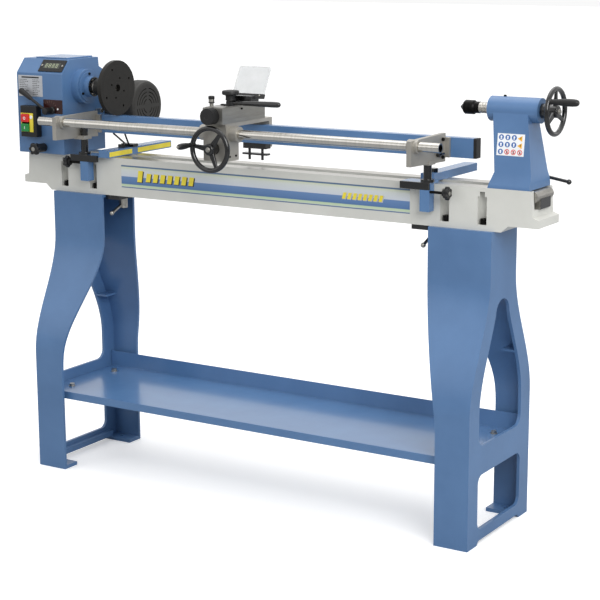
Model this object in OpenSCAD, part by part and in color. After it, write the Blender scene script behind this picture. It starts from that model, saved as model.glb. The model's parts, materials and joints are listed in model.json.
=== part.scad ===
// Floor-standing wood lathe with a copying attachment.
// +X runs along the bed from headstock to tailstock, the operator stands at -Y, +Z is up.
// The origin is on the floor, in the middle of the four anchor holes in the feet.

/* [Stand] */
// Height of the legs, floor to underside of the bed
leg_h = 770; // [560:1:950]
// Half depth of a leg at its top
leg_top_half = 72.5; // [66:0.5:90]
// Half depth of a leg at its foot
leg_foot_half = 174; // [150:1:230]
// Width of a leg flange at the top
flange_top_w = 170; // [150:1:200]
// Width of a leg flange at the foot
flange_foot_w = 92; // [70:1:120]
// Wall of the leg castings
leg_wall = 8; // [5:0.5:12]
// Diameter of the floor anchor holes
anchor_hole_d = 12; // [8:1:18]
// Height of the shelf's floor
shelf_z = 221; // [190:1:235]
// Upstand at the back of the shelf
shelf_back_h = 44; // [15:1:60]
// Lip turned down at the front of the shelf
shelf_lip_h = 21; // [10:1:40]
// Sheet thickness of the shelf
shelf_sheet = 2; // [1:0.5:4]

/* [Bed] */
// Length of the bed over its ways
bed_len = 1534; // [1280:1:1900]
// Width of the bed over both ways
bed_w = 120; // [110:1:150]
// Height of the bed casting
bed_h = 104; // [86:1:130]
// Width of each way
way_w = 40; // [34:1:46]
// Thickness of each way
way_t = 18; // [12:1:24]
// Wall of the bed casting
bed_wall = 12; // [8:1:15]

/* [Headstock] */
// Height of the centres above the ways
centre_h = 183; // [150:1:220]
// Length of the headstock housing along the bed
head_len = 157; // [145:1:190]
// Height of the headstock housing
head_h = 259; // [250:1:320]
// Wall of the headstock housing
head_wall = 8; // [5:1:10]
// Diameter of the faceplate
faceplate_d = 150; // [120:1:155]
// Circle of the outer screw holes in the faceplate
screw_pcd = 110; // [90:1:112]
// Diameter of the faceplate's screw holes
screw_hole_d = 7; // [4:0.5:9]
// Outer diameter of the motor body
motor_d = 132; // [110:1:138]

/* [Copying attachment] */
// Diameter of the guide tube
tube_d = 24; // [20:1:28]
// Height of the guide tube above the ways
tube_h = 99; // [92:1:104]
// Height of the template beam's section
beam_h = 49; // [40:1:54]
// Depth of the template beam's section
beam_w = 25; // [20:1:30]
// Diameter of the carriage handwheel
carriage_wheel_d = 120; // [100:1:120]
// Place of the carriage along the bed, from its middle
carriage_x = -50; // [-300:1:300]

/* [Tailstock] */
// Length of the tailstock's foot
tail_len = 109; // [100:1:125]
// Outer diameter of the quill
quill_d = 26; // [22:1:30]
// Length of quill standing out at rest
quill_out = 30; // [12:1:45]
// Diameter of the tailstock handwheel
tail_wheel_d = 118; // [100:1:140]

/* [Hidden] */
$fn = 48;
steps = 16;
run = 0.05;
gap = 0.3;

bed_x = bed_len / 2;
leg_x = bed_x - 95;
way_z = leg_h + bed_h;
axis_z = way_z + centre_h;
front_y = -bed_w / 2;
bed_gap = bed_w - 2 * way_w;

curve_top = leg_h - 120;
curve_foot = 0.43 * leg_h;
arch_top = leg_h - 173;
arch_foot = 250;
arch_cap = 37;
band = leg_foot_half - 120;
window_top = 177;
window_foot = 38;
window_half = leg_foot_half - 53;
rail_foot = 10;
anchor_x = leg_x - 45;
anchor_y = leg_foot_half - 30;
ledge_w = 76;
ledge_bolt_x = leg_x - 62;
ledge_bolt_y = 96;
shelf_half = leg_foot_half - leg_wall - 14;

bolt_in = [32, 132];
bolt_y = bed_w / 2 - 12;
pocket_z = leg_h + 14;

head_x0 = -bed_x - 10;
head_x1 = head_x0 + head_len;
head_front = -83;
head_back = 79;
head_shoulder = 98;
head_z = way_z;
head_top = head_z + head_h;
shoulder_top = head_top - 36;
belt_x0 = head_x0 + 8;
belt_x1 = belt_x0 + 30;
spindle_pulley_r = 46;
motor_pulley_r = 34;
belt_t = 5;
motor_y = 172;
motor_z = axis_z - 65;
motor_x0 = head_x0 + 84;
motor_x1 = head_x1 + 60;
fan_x1 = motor_x1 + 38;
spindle_d = 36;
collar_d = 46;
boss_d = 96;
boss_x1 = head_x1 + 24;
nose_x = boss_x1 + 34;
face_x1 = head_x1 + 127;
face_t = 12;
lever_x = head_x0 + 111;
display_x = head_x0 + 70;
cap_end = boss_x1 + 22;
lever_z = way_z + 119;
lock_knob_x = head_x0 + 86;
lock_knob_z = way_z + 17;
switch_x0 = head_x0 + 22;
switch_z0 = way_z + 46;
switch_w = 57;
switch_h = 86;
switch_y = head_front - 22;

plate_t = 5;
block_t = 8;
block_drop = 13;
leg_drop = 66;
bar_w = 36;
bar_h = 20;
bar_back = 205;
post_y = -72;
block_y0 = front_y - 28;
left_bar_x = head_x1 + 135;
left_plate = [head_x1 + 24, left_bar_x + bar_w / 2];
left_post_x = head_x1 + 63;
right_bar_x = bed_x - 288;
right_plate = [right_bar_x - 48, right_bar_x + 31];
right_post_x = right_bar_x + 20;
bracket_t = 12;
post_d = 20;
left_bracket_x = left_post_x - post_d / 2 - 1;
right_bracket_x = right_post_x + 10;
bracket_y0 = -178;
bracket_z0 = way_z + 47;
bracket_z1 = way_z + 117;
tube_y = -150;
tube_z = way_z + tube_h;
tube_x0 = left_post_x - 88;
tube_x1 = right_post_x + 74;
tube_wall = 3;
beam_y0 = 2;
beam_z1 = way_z + 107;
beam_z0 = beam_z1 - beam_h;
beam_x0 = left_post_x - 26;
beam_x1 = right_post_x + 85;
star_drop = 17;
star_reach = 54;
left_star_x = left_post_x + 8;
right_star_x = right_post_x;

saddle_w = 70;
saddle_y0 = -178;
saddle_y1 = -122;
saddle_z0 = way_z + 31;
saddle_z1 = way_z + 117;
wheel_y = -200;
carriage_wheel_z = way_z + 63;
roller_r = tube_z - tube_d / 2 - gap - carriage_wheel_z;
slide_w = 60;
slide_y0 = -186;
slide_y1 = 9;
slide_z0 = way_z + 125;
slide_z1 = way_z + 166;
feed_d = 42;
feed_z = carriage_wheel_z + carriage_wheel_d / 2 + feed_d / 2 + 2;
slide_knob_y = -212;
lever_y = -125;
shield_y = -70;
shield_z = slide_z1 + 16;

tail_x1 = bed_x - 6;
tail_x0 = tail_x1 - tail_len;
barrel_r = 30;
barrel_x0 = tail_x0 - 20;
barrel_x1 = tail_x1 + 1;
quill_tip = barrel_x0 - quill_out;
tail_wheel_x = tail_x1 + 35;
clamp_shaft_x = tail_x1 - 46;
clamp_shaft_z = way_z + 24;
centre_len = 52;
grip_r = tail_wheel_d / 2 - 6;
grip_y = -0.8 * grip_r;
grip_z = axis_z + 0.5 * grip_r;

blue = [0.37, 0.49, 0.66];
bed_grey = [0.81, 0.81, 0.79];
black = [0.1, 0.1, 0.1];
steel = [0.72, 0.71, 0.68];
cast_grey = [0.6, 0.59, 0.56];

// ---- helpers ----

function ease(t) = let(u = min(max(t, 0), 1)) u * u * (3 - 2 * u);
function leg_half(z) = leg_top_half
    + (leg_foot_half - leg_top_half) * ease((curve_top - z) / (curve_top - curve_foot));
function flange_w(z) = flange_top_w
    - (flange_top_w - flange_foot_w) * ease((curve_top - z) / (curve_top - curve_foot + 45));
function arch_half(z) = z > arch_top - arch_cap
    ? (leg_half(arch_top - arch_cap) - band) * sqrt(max(0, 1 - pow((z - arch_top + arch_cap) / arch_cap, 2)))
    : leg_half(z) - band;

module box(x0, x1, y0, y1, z0, z1) translate([x0, y0, z0]) cube([x1 - x0, y1 - y0, z1 - z0]);
module along_x(x, y, z) translate([x, y, z]) rotate([0, 90, 0]) children();
module along_y(x, y, z) translate([x, y, z]) rotate([-90, 0, 0]) children();
module side_plate(x0, x1) translate([x0, 0, 0]) rotate([90, 0, 90]) linear_extrude(x1 - x0) children();
module front_plate(y0, y1) translate([0, y1, 0]) rotate([90, 0, 0]) linear_extrude(y1 - y0) children();
module rod_x(x0, x1, y, z, d) along_x(x0, y, z) cylinder(d = d, h = x1 - x0);
module rod_y(x, y0, y1, z, d) along_y(x, y0, z) cylinder(d = d, h = y1 - y0);
module rod_z(x, y, z0, z1, d) translate([x, y, z0]) cylinder(d = d, h = z1 - z0);
module rounded(x0, x1, y0, y1, r) {
    translate([x0 + r, y0]) square([x1 - x0 - 2 * r, y1 - y0]);
    translate([x0, y0 + r]) square([x1 - x0, y1 - y0 - 2 * r]);
    for (x = [x0 + r, x1 - r], y = [y0 + r, y1 - r])
        translate([x, y]) circle(r);
}

// A spoked wheel about Z, rim centred on z = 0, hub from hub_z0 to hub_z1.
module spoked_wheel(d, rim, hub_d, hub_z0, hub_z1, bore, turn) {
    ring = d / 2 - rim / 2;
    difference() {
        union() {
            rotate_extrude() translate([ring, 0]) circle(rim / 2);
            translate([0, 0, hub_z0]) cylinder(d = hub_d, h = hub_z1 - hub_z0);
            for (i = [0:2])
                rotate([0, 0, turn + i * 120])
                    translate([0, -rim * 0.45, -rim * 0.3]) cube([ring, rim * 0.9, rim * 0.6]);
        }
        translate([0, 0, hub_z0 - 1]) cylinder(d = bore, h = hub_z1 - hub_z0 + 2);
    }
}

// A turned grip about Z with its narrow end at z = 0.
module turned_grip(len, d, bore)
    rotate_extrude()
        polygon([[bore / 2, 0], [d * 0.36, 0], [d * 0.42, len * 0.1], [d * 0.5, len * 0.55],
            [d * 0.5, len * 0.86], [d * 0.4, len * 0.97], [d * 0.22, len], [bore / 2, len]]);

// A clamping knob with six shallow lobes about Z, with its stud reaching down.
module star_knob(d, h, stud_d, stud_len) {
    difference() {
        cylinder(d = d, h = h);
        for (i = [0:5])
            rotate([0, 0, i * 60]) translate([d * 0.58, 0, -1]) cylinder(d = d * 0.3, h = h + 2);
    }
    translate([0, 0, -h * 0.5]) cylinder(d = d * 0.5, h = h * 0.5);
    translate([0, 0, -stud_len]) cylinder(d = stud_d, h = stud_len);
}

// ---- stand ----

module leg_outline() {
    zs = [for (i = [0:steps]) leg_h - (leg_h - curve_top) - (curve_top - curve_foot) * i / steps];
    polygon(concat([[leg_top_half, leg_h]], [for (z = zs) [leg_half(z), z]],
        [[leg_foot_half, 0], [window_half, 0], [window_half - 8, rail_foot], [8 - window_half, rail_foot],
        [-window_half, 0], [-leg_foot_half, 0]],
        [for (i = [steps:-1:0]) [-leg_half(zs[i]), zs[i]]], [[-leg_top_half, leg_h]]));
}

module leg_core() {
    zs = [for (i = [0:steps]) leg_h - (leg_h - curve_top) - (curve_top - curve_foot) * i / steps];
    polygon(concat([[leg_top_half - leg_wall, leg_h + 1]], [for (z = zs) [leg_half(z) - leg_wall, z]],
        [[leg_foot_half - leg_wall, -1], [leg_wall - leg_foot_half, -1]],
        [for (i = [steps:-1:0]) [leg_wall - leg_half(zs[i]), zs[i]]], [[leg_wall - leg_top_half, leg_h + 1]]));
}

module leg_arch() {
    z0 = arch_foot;
    cap = [for (a = [90:-15:15]) arch_top - arch_cap + arch_cap * sin(a)];
    side = [for (i = [0:steps]) arch_top - arch_cap - (arch_top - arch_cap - z0 - 26) * i / steps];
    zs = concat(cap, side);
    corner = leg_half(z0 + 26) - band - 26;
    foot = [for (a = [0:15:90]) [corner + 26 * cos(a), z0 + 26 - 26 * sin(a)]];
    right = concat([for (z = zs) [arch_half(z), z]], foot);
    polygon(concat(right, [for (i = [len(right) - 1:-1:1]) [-right[i][0], right[i][1]]]));
}

module flange_shape() {
    zs = [for (i = [0:steps]) curve_top - (curve_top - curve_foot + 45) * i / steps];
    polygon(concat([[0, 0], [0, leg_h], [flange_top_w, leg_h]], [for (z = zs) [flange_w(z), z]],
        [[flange_foot_w, 0]]));
}

// A leg whose web is in the plane x = 0 and whose flanges reach towards +X.
module leg() {
    difference() {
        union() {
            side_plate(0, leg_wall) leg_outline();
            intersection() {
                difference() {
                    side_plate(0, flange_top_w) leg_outline();
                    side_plate(-1, flange_top_w + 1) leg_core();
                }
                front_plate(-leg_foot_half - 1, leg_foot_half + 1) flange_shape();
            }
            box(0, flange_top_w, -leg_top_half, leg_top_half, leg_h - leg_wall, leg_h);
            for (z = [leg_h - 164, leg_h - 329])
                intersection() {
                    box(leg_wall - 1, 44, -leg_foot_half, leg_foot_half, z, z + 6);
                    side_plate(0, 50) leg_core();
                }
            box(leg_wall - 1, ledge_w, -ledge_bolt_y - 24, ledge_bolt_y + 24,
                shelf_z - shelf_sheet - 6, shelf_z - shelf_sheet);
            box(leg_wall - 1, 24, -window_half - 10, window_half + 10, rail_foot, window_foot - 12);
            for (s = [-1, 1])
                box(0, flange_foot_w, min(s * window_half, s * (leg_foot_half - 1)),
                    max(s * window_half, s * (leg_foot_half - 1)), 0, 10);
        }
        side_plate(-1, 60) leg_arch();
        side_plate(-1, leg_wall + 1) rounded(-window_half, window_half, window_foot, window_top, 22);
        for (x = bolt_in, s = [-1, 1])
            rod_z(x, s * bolt_y, leg_h - leg_wall - 1, leg_h + 1, 11);
        for (s = [-1, 1]) {
            rod_z(leg_x - anchor_x, s * anchor_y, -1, 11, anchor_hole_d);
            rod_z(leg_x - ledge_bolt_x, s * ledge_bolt_y, shelf_z - 20, shelf_z, 9);
        }
    }
}

module left_leg() color(blue) translate([-leg_x, 0, 0]) leg();
module right_leg() color(blue) translate([leg_x, 0, 0]) mirror([1, 0, 0]) leg();

module shelf_tray() {
    x = leg_x - leg_wall - 1.5;
    color(blue) difference() {
        union() {
            box(-x, x, -shelf_half, shelf_half, shelf_z - shelf_sheet, shelf_z);
            box(-x, x, shelf_half - shelf_sheet, shelf_half, shelf_z - shelf_sheet, shelf_z + shelf_back_h);
            box(-x, x, -shelf_half, shelf_sheet - shelf_half, shelf_z - shelf_lip_h, shelf_z);
            box(-x, x, shelf_sheet - shelf_half - 1, 12 - shelf_half, shelf_z - shelf_lip_h,
                shelf_z - shelf_lip_h + shelf_sheet);
        }
        for (sx = [-1, 1], sy = [-1, 1])
            rod_z(sx * ledge_bolt_x, sy * ledge_bolt_y, shelf_z - 4, shelf_z + 1, 9);
    }
}

module shelf_fixings() color(steel)
    for (sx = [-1, 1], sy = [-1, 1]) translate([sx * ledge_bolt_x, sy * ledge_bolt_y, shelf_z]) {
        cylinder(d = 18, h = 1.6);
        translate([0, 0, 1.6]) cylinder(d = 15, h = 6, $fn = 6);
        translate([0, 0, -18]) cylinder(d = 8, h = 19);
        translate([0, 0, -shelf_sheet - 12.5]) cylinder(d = 15, h = 6.5, $fn = 6);
    }

// ---- bed ----

module bed_side() {
    foot = bed_x + 19;
    half = [[bed_x - 77, leg_h], [bed_x - 59, leg_h + 16], [foot, leg_h + 16], [foot, leg_h + 36],
        [bed_x + 4, leg_h + 41], [bed_x, way_z]];
    polygon(concat(half, [for (i = [len(half) - 1:-1:0]) [-half[i][0], half[i][1]]]));
}

module bed_casting() {
    inner = bed_w / 2 - bed_wall;
    cavity_x = bed_x - 14;
    ribs = [for (i = [-3:3]) i * (bed_x - 160) / 3.5];
    color(bed_grey) difference() {
        front_plate(front_y, -front_y) bed_side();
        difference() {
            union() {
                box(-cavity_x, cavity_x, -inner, inner, leg_h + 14, way_z - way_t);
                box(-leg_x + flange_top_w, leg_x - flange_top_w, -30, 30, leg_h - 1, leg_h + 15);
            }
            for (x = ribs) box(x - 5, x + 5, -bed_w / 2, bed_w / 2, leg_h + 24, way_z);
            for (sx = [-1, 1], x = bolt_in, sy = [-1, 1])
                translate([sx * (leg_x - x), sy * bolt_y, 0]) box(-22, 22, -18, 18, leg_h, way_z);
        }
        box(20 - bed_x, bed_x - 20, -bed_gap / 2, bed_gap / 2, way_z - way_t - 1, way_z + 1);
        for (x = [left_bar_x, right_bar_x])
            box(x - 40, x + 40, -bed_gap / 2, bed_gap / 2, leg_h + 20, way_z + 1);
        for (s = [-1, 1])
            box(s > 0 ? bed_x - 26 : -bed_x - 30, s > 0 ? bed_x + 30 : 26 - bed_x, -49, 49, way_z - 46, way_z + 1);
        for (sx = [-1, 1], x = bolt_in, sy = [-1, 1]) translate([sx * (leg_x - x), sy * bolt_y, 0]) {
            rod_z(0, 0, leg_h - 1, pocket_z + 1, 11);
            rod_z(0, sy * 2, pocket_z, way_z - 10, 24);
            box(-12, 12, sy > 0 ? 2 : -13, sy > 0 ? 13 : -2, pocket_z, way_z - 22);
        }
    }
}

module bed_fixings() color(black)
    for (sx = [-1, 1], x = bolt_in, sy = [-1, 1]) translate([sx * (leg_x - x), sy * bolt_y, pocket_z]) {
        difference() {
            cylinder(d = 18, h = 14);
            translate([0, 0, 7]) cylinder(d = 9, h = 8, $fn = 6);
        }
        translate([0, 0, -14 - leg_wall - 14]) cylinder(d = 10, h = 15 + leg_wall + 14);
        translate([0, 0, -14 - leg_wall - 8]) cylinder(d = 19, h = 8, $fn = 6);
    }

module stand_bolts() {
    shelf_fixings();
    bed_fixings();
}

module decals() {
    band_z = way_z - 50;
    color([0.42, 0.5, 0.68]) box(-bed_x + 325, bed_x - 322, front_y - 0.4, front_y, band_z - 29, band_z + 32);
    color(steel) box(head_x0 + 4, head_x0 + 90, head_front - 0.5, head_front, way_z + 156, way_z + 214);
    color("gold") for (y = [[-70, 22], [48, bar_back - 4]])
        box(left_bar_x + bar_w / 2, left_bar_x + bar_w / 2 + 0.5, y[0], y[1], way_z + 3, way_z + bar_h - 4);
}

module bed_end_stop() color(steel) {
    rod_y(bed_x - 4, -47, 47, way_z - 16, 28);
    box(bed_x - 16, bed_x + 10, -30, 29, way_z - 46, way_z - 20);
}

// ---- headstock ----

module head_profile() polygon([[head_front, head_z], [head_front, head_top - 38], [head_front + 34, head_top],
    [head_back - 3, head_top], [head_back, head_top - 26], [head_shoulder, shoulder_top],
    [head_shoulder, head_z]]);

module head_core() {
    w = head_wall;
    polygon([[head_front + w, head_z + w], [head_front + w, head_top - 38 - w * 0.4],
        [head_front + 34 + w * 0.5, head_top - w], [head_back - 3 - w, head_top - w],
        [head_back - w, head_top - 30], [head_shoulder - w, shoulder_top - w], [head_shoulder - w, head_z + w]]);
}

module headstock_housing() {
    wall_x = belt_x1 + 14;
    color(blue) difference() {
        union() {
            difference() {
                side_plate(head_x0, head_x1) head_profile();
                side_plate(head_x0 - 1, wall_x) head_core();
                side_plate(wall_x + 14, head_x1 - head_wall) head_core();
            }
            rod_x(head_x1 - 1, boss_x1, 0, axis_z, boss_d);
            rod_x(head_x1 - 30, head_x1, 0, axis_z, 80);
            rod_x(wall_x, wall_x + 26, 0, axis_z, 80);
            box(head_x1 - 40, head_x1 - 2, 44, 76, way_z + 96, way_z + 126);
        }
        rod_x(boss_x1 - 22, boss_x1 + 1, 0, axis_z, 62);
        rod_x(wall_x - 1, boss_x1, 0, axis_z, spindle_d + 4);
        rod_x(wall_x - 1, wall_x + 20, 0, axis_z, 62);
        box(head_x0 - 1, belt_x1 + 8, head_back - 20, head_shoulder + 1, motor_z - 48, axis_z + 20);
        rod_y(lever_x, head_front - 1, head_front + head_wall + 1, lever_z, 12 + 2 * run);
        rod_y(lock_knob_x, head_front - 1, head_front + head_wall + 1, lock_knob_z, 10 + 2 * run);
        rod_x(head_x1 - 42, head_x1 + 1, 60, way_z + 111, 8 + 2 * run);
        for (z = [way_z + 72, way_z + 98])
            rod_y(switch_x0 + 18, head_front - 1, head_front + head_wall + 1, z, 12);
        box(head_x0 + 60, head_x1 - 30, -30, 40, head_top - head_wall - 1, head_top + 1);
    }
}

module headstock_lid() color(blue) {
    box(head_x0 + 34, head_x1 - 12, -44, 66, head_top, head_top + 4);
    box(head_x0 + 62, head_x1 - 32, -28, 38, head_top - 6, head_top + 1);
}

module cover_outline(grow) {
    hull() {
        translate([0, axis_z]) circle(spindle_pulley_r + 22 + grow);
        translate([motor_y, motor_z]) circle(motor_pulley_r + 22 + grow);
    }
}

module belt_cover() {
    t = 3;
    color(blue) {
        difference() {
            side_plate(head_x0 - 4, head_x0) union() { head_profile(); cover_outline(0); }
            rod_x(head_x0 - 5, head_x0 + 1, 0, axis_z, 30);
        }
        difference() {
            side_plate(head_x0 - 1, belt_x1 + 12) cover_outline(0);
            side_plate(head_x0, belt_x1 + 12 - t) cover_outline(-t);
            box(head_x0 - 9, belt_x1 + 20, head_front - 60, head_shoulder + gap, head_z - 60, head_top + 60);
            rod_x(belt_x1, belt_x1 + 20, motor_y, motor_z, 50);
        }
    }
}

module bearing(x0, x1, bore, d) {
    difference() {
        rod_x(x0, x1, 0, axis_z, d);
        rod_x(x0 - 1, x1 + 1, 0, axis_z, bore);
        for (x = [x0 - 1, x1 - 1])
            difference() {
                rod_x(x, x + 2, 0, axis_z, d - 8);
                rod_x(x - 1, x + 3, 0, axis_z, bore + 8);
            }
    }
}

module spindle_bearings() color(steel) {
    bearing(boss_x1 - 22, boss_x1 - 4, spindle_d + 2 * run, 62);
    bearing(belt_x1 + 16, belt_x1 + 34, spindle_d + 2 * run, 62);
}

module bearing_cap() color(blue) difference() {
    union() {
        rod_x(boss_x1, boss_x1 + 4, 0, axis_z, collar_d + 36);
        rod_x(boss_x1, cap_end, 0, axis_z, collar_d + 12);
    }
    rod_x(boss_x1 - 1, cap_end + 1, 0, axis_z, collar_d + 4);
    for (i = [0:2])
        along_x(boss_x1 - 1, 0, axis_z) rotate([0, 0, 60 + i * 120])
            translate([collar_d / 2 + 12, 0, 0]) cylinder(d = 5, h = 6);
}

module spindle() color(steel) difference() {
    union() {
        rod_x(head_x0 + 6, nose_x, 0, axis_z, spindle_d);
        rod_x(boss_x1 - 3, boss_x1 + 14, 0, axis_z, collar_d);
        rod_x(nose_x - 20, face_x1 - face_t, 0, axis_z, 25);
    }
    rod_x(head_x0, face_x1, 0, axis_z, 10);
    along_x(face_x1 - face_t - 60, 0, axis_z) cylinder(d1 = 14, d2 = 18, h = 61);
}

module faceplate() {
    hub_x = boss_x1 + 18;
    color([0.22, 0.21, 0.2]) difference() {
        union() {
            rod_x(face_x1 - face_t, face_x1, 0, axis_z, faceplate_d);
            rod_x(nose_x, face_x1 - face_t, 0, axis_z, 46);
            rod_x(face_x1 - face_t - 6, face_x1 - face_t, 0, axis_z, 62);
        }
        rod_x(hub_x, face_x1 - face_t, 0, axis_z, 25);
        rod_x(face_x1 - face_t - 1, face_x1 + 1, 0, axis_z, 20);
        for (i = [0:3]) {
            a = 25 + i * 90;
            rod_x(face_x1 - face_t - 1, face_x1 + 1, screw_pcd / 2 * cos(a), axis_z + screw_pcd / 2 * sin(a),
                screw_hole_d);
            rod_x(face_x1 - face_t - 7, face_x1 + 1, 28 * cos(a + 45), axis_z + 28 * sin(a + 45), screw_hole_d - 1);
        }
    }
}

module grooved_pulley(x0, x1, y, z, r, bore) along_x(x0, y, z) rotate_extrude()
    polygon([[bore / 2, 0], [r + 3, 0], [r + 3, 3], [r - gap, 7], [r - gap, x1 - x0 - 7], [r + 3, x1 - x0 - 3],
        [r + 3, x1 - x0], [bore / 2, x1 - x0]]);

module spindle_pulley() color(cast_grey)
    grooved_pulley(belt_x0, belt_x1, 0, axis_z, spindle_pulley_r, spindle_d);

module motor_pulley() color(cast_grey)
    grooved_pulley(belt_x0, belt_x1, motor_y, motor_z, motor_pulley_r, 19);

module drive_belt() color(black) difference() {
    side_plate(belt_x0 + 7.5, belt_x1 - 7.5) hull() {
        translate([0, axis_z]) circle(spindle_pulley_r + belt_t);
        translate([motor_y, motor_z]) circle(motor_pulley_r + belt_t);
    }
    side_plate(belt_x0 + 7, belt_x1 - 7) hull() {
        translate([0, axis_z]) circle(spindle_pulley_r);
        translate([motor_y, motor_z]) circle(motor_pulley_r);
    }
}

module motor_shaft() color(steel) {
    rod_x(belt_x0, fan_x1 - 8, motor_y, motor_z, 19);
    rod_x(motor_x0 + 30, motor_x1 - 30, motor_y, motor_z, 70);
}

module motor_fan() color(black) {
    difference() {
        rod_x(motor_x1 + 8, motor_x1 + 28, motor_y, motor_z, 40);
        rod_x(motor_x1 + 7, motor_x1 + 29, motor_y, motor_z, 19);
    }
    for (i = [0:7])
        along_x(motor_x1 + 10, motor_y, motor_z) rotate([0, 0, i * 45]) translate([18, -1, 0]) cube([34, 2, 16]);
}

module motor_body() {
    r = motor_d / 2;
    color([0.25, 0.24, 0.22]) difference() {
        union() {
            rod_x(motor_x0, motor_x1, motor_y, motor_z, motor_d - 8);
            for (x = [motor_x0, motor_x1 - 10]) rod_x(x, x + 10, motor_y, motor_z, motor_d);
            for (i = [0:23])
                along_x(motor_x0 + 12, motor_y, motor_z) rotate([0, 0, i * 15])
                    translate([r - 8, -1.2, 0]) cube([7, 2.4, motor_x1 - motor_x0 - 24]);
            box(motor_x0 + 25, motor_x1 - 35, motor_y - 26, motor_y + 26, motor_z + r - 12, motor_z + r + 26);
            box(motor_x0 + 8, motor_x0 + 24, head_shoulder, motor_y, motor_z - 40, motor_z + 40);
        }
        rod_x(motor_x0 + 12, motor_x1 - 12, motor_y, motor_z, 72);
        rod_x(motor_x0 - 1, motor_x1 + 1, motor_y, motor_z, 19 + 2 * run);
    }
}

module motor_fan_cover() {
    d = motor_d + 12;
    color([0.25, 0.24, 0.22]) difference() {
        along_x(motor_x1, motor_y, motor_z) rotate_extrude()
            polygon([[0, 0], [d / 2, 0], [d / 2, 26], [d / 2 - 4, 34], [d / 2 - 12, 38], [0, 38]]);
        rod_x(motor_x1 - 1, motor_x1 + 26, motor_y, motor_z, d - 6);
        rod_x(motor_x1 + 25, motor_x1 + 34, motor_y, motor_z, d - 20);
        for (r = [18, 28, 38, 48], q = [0:3])
            intersection() {
                difference() {
                    rod_x(motor_x1 + 30, fan_x1 + 1, motor_y, motor_z, 2 * r + 5);
                    rod_x(motor_x1 + 29, fan_x1 + 2, motor_y, motor_z, 2 * r);
                }
                translate([0, motor_y, motor_z]) rotate([q * 90, 0, 0])
                    box(motor_x1, fan_x1 + 5, 5, 90, 5, 90);
            }
    }
}

// The sloping face of the headstock, as a frame whose z axis is the face's normal.
module on_slope(s) translate([0, head_front + 34 * s, head_top - 38 + 38 * s])
    rotate([atan2(38, 34), 0, 0]) children();

module speed_display() color(black) on_slope(0.5) {
    translate([display_x, -20, 0]) cube([84, 40, 3]);
    translate([display_x + 14, -10, 3]) cube([54, 18, 0.8]);
    for (x = [display_x + 6, display_x + 78]) translate([x, 0, 3]) cylinder(d = 6, h = 1.5);
}

module speed_scale_plate() color([0.25, 0.05, 0.05]) difference() {
    box(head_x1 - 68, head_x1 - 1, head_front - 1.5, head_front, way_z + 112, way_z + 150);
    rod_y(lever_x, head_front - 3, head_front + 1, lever_z, 20);
}

module speed_lever() {
    tilt = 59;
    y = head_front - 14;
    color(black) {
        rod_y(lever_x, head_front - 10, head_front + 26, lever_z, 12);
        rod_y(lever_x, y - 10, head_front - 2, lever_z, 19);
        translate([lever_x, y - 2, lever_z]) rotate([0, -tilt, 0]) {
            cylinder(d = 8, h = 72);
            translate([0, 0, 66]) cylinder(d1 = 12, d2 = 17, h = 34);
            translate([0, 0, 100]) sphere(d = 17);
        }
        rod_y(lever_x, head_front + 12, head_front + 20, lever_z, 34);
    }
}

module switch_box() {
    plate_y = switch_y - 1.5;
    holes = [way_z + 72, way_z + 98];
    difference() {
        union() {
            color(black) box(switch_x0, switch_x0 + switch_w, switch_y, head_front, switch_z0, switch_z0 + switch_h);
            color("gold") box(switch_x0 + 3, switch_x0 + 46, plate_y, switch_y + 1, switch_z0 + 14, switch_z0 + 66);
        }
        for (z = holes)
            box(switch_x0 + 5.5, switch_x0 + 33.5, plate_y - 1, switch_y + 12, z - 11.5, z + 11.5);
    }
}

module push_button(z) {
    box(switch_x0 + 6, switch_x0 + 33, switch_y - 7, switch_y + 6, z - 11, z + 11);
}
module stop_button() color("red") push_button(way_z + 98);
module start_button() color("green") push_button(way_z + 72);

module headstock_clamp_knob() color(black) {
    rod_y(lock_knob_x, head_front - 12, head_front + head_wall, lock_knob_z, 10);
    rod_y(lock_knob_x, head_front - 30, head_front - 1, lock_knob_z, 24);
    along_y(lock_knob_x, head_front - 36, lock_knob_z) star_knob(34, 12, 10, 0.5);
}

module index_pin() color(steel) {
    rod_x(head_x1 - 34, head_x1 + 16, 60, way_z + 111, 8);
    rod_x(head_x1 + 8, head_x1 + 22, 60, way_z + 111, 13);
}

// ---- copying attachment ----

module guide_tube() color(steel) difference() {
    rod_x(tube_x0, tube_x1, tube_y, tube_z, tube_d);
    rod_x(tube_x0 - 1, tube_x1 + 1, tube_y, tube_z, tube_d - 2 * tube_wall);
}

module template_beam() color(blue) difference() {
    box(beam_x0, beam_x1, beam_y0, beam_y0 + beam_w, beam_z0, beam_z1);
    box(beam_x0 - 1, beam_x1 + 1, beam_y0 + 2, beam_y0 + beam_w - 2, beam_z0 + 2, beam_z1 - 2);
}

module beam_end_caps() color(black) for (s = [0, 1]) {
    x = s == 0 ? beam_x0 : beam_x1;
    d = s == 0 ? -1 : 1;
    box(min(x, x + 8 * d), max(x, x + 8 * d), beam_y0, beam_y0 + beam_w, beam_z0, beam_z1);
    box(min(x, x - 10 * d), max(x, x - 10 * d), beam_y0 + 2, beam_y0 + beam_w - 2, beam_z0 + 2, beam_z1 - 2);
}

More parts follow.
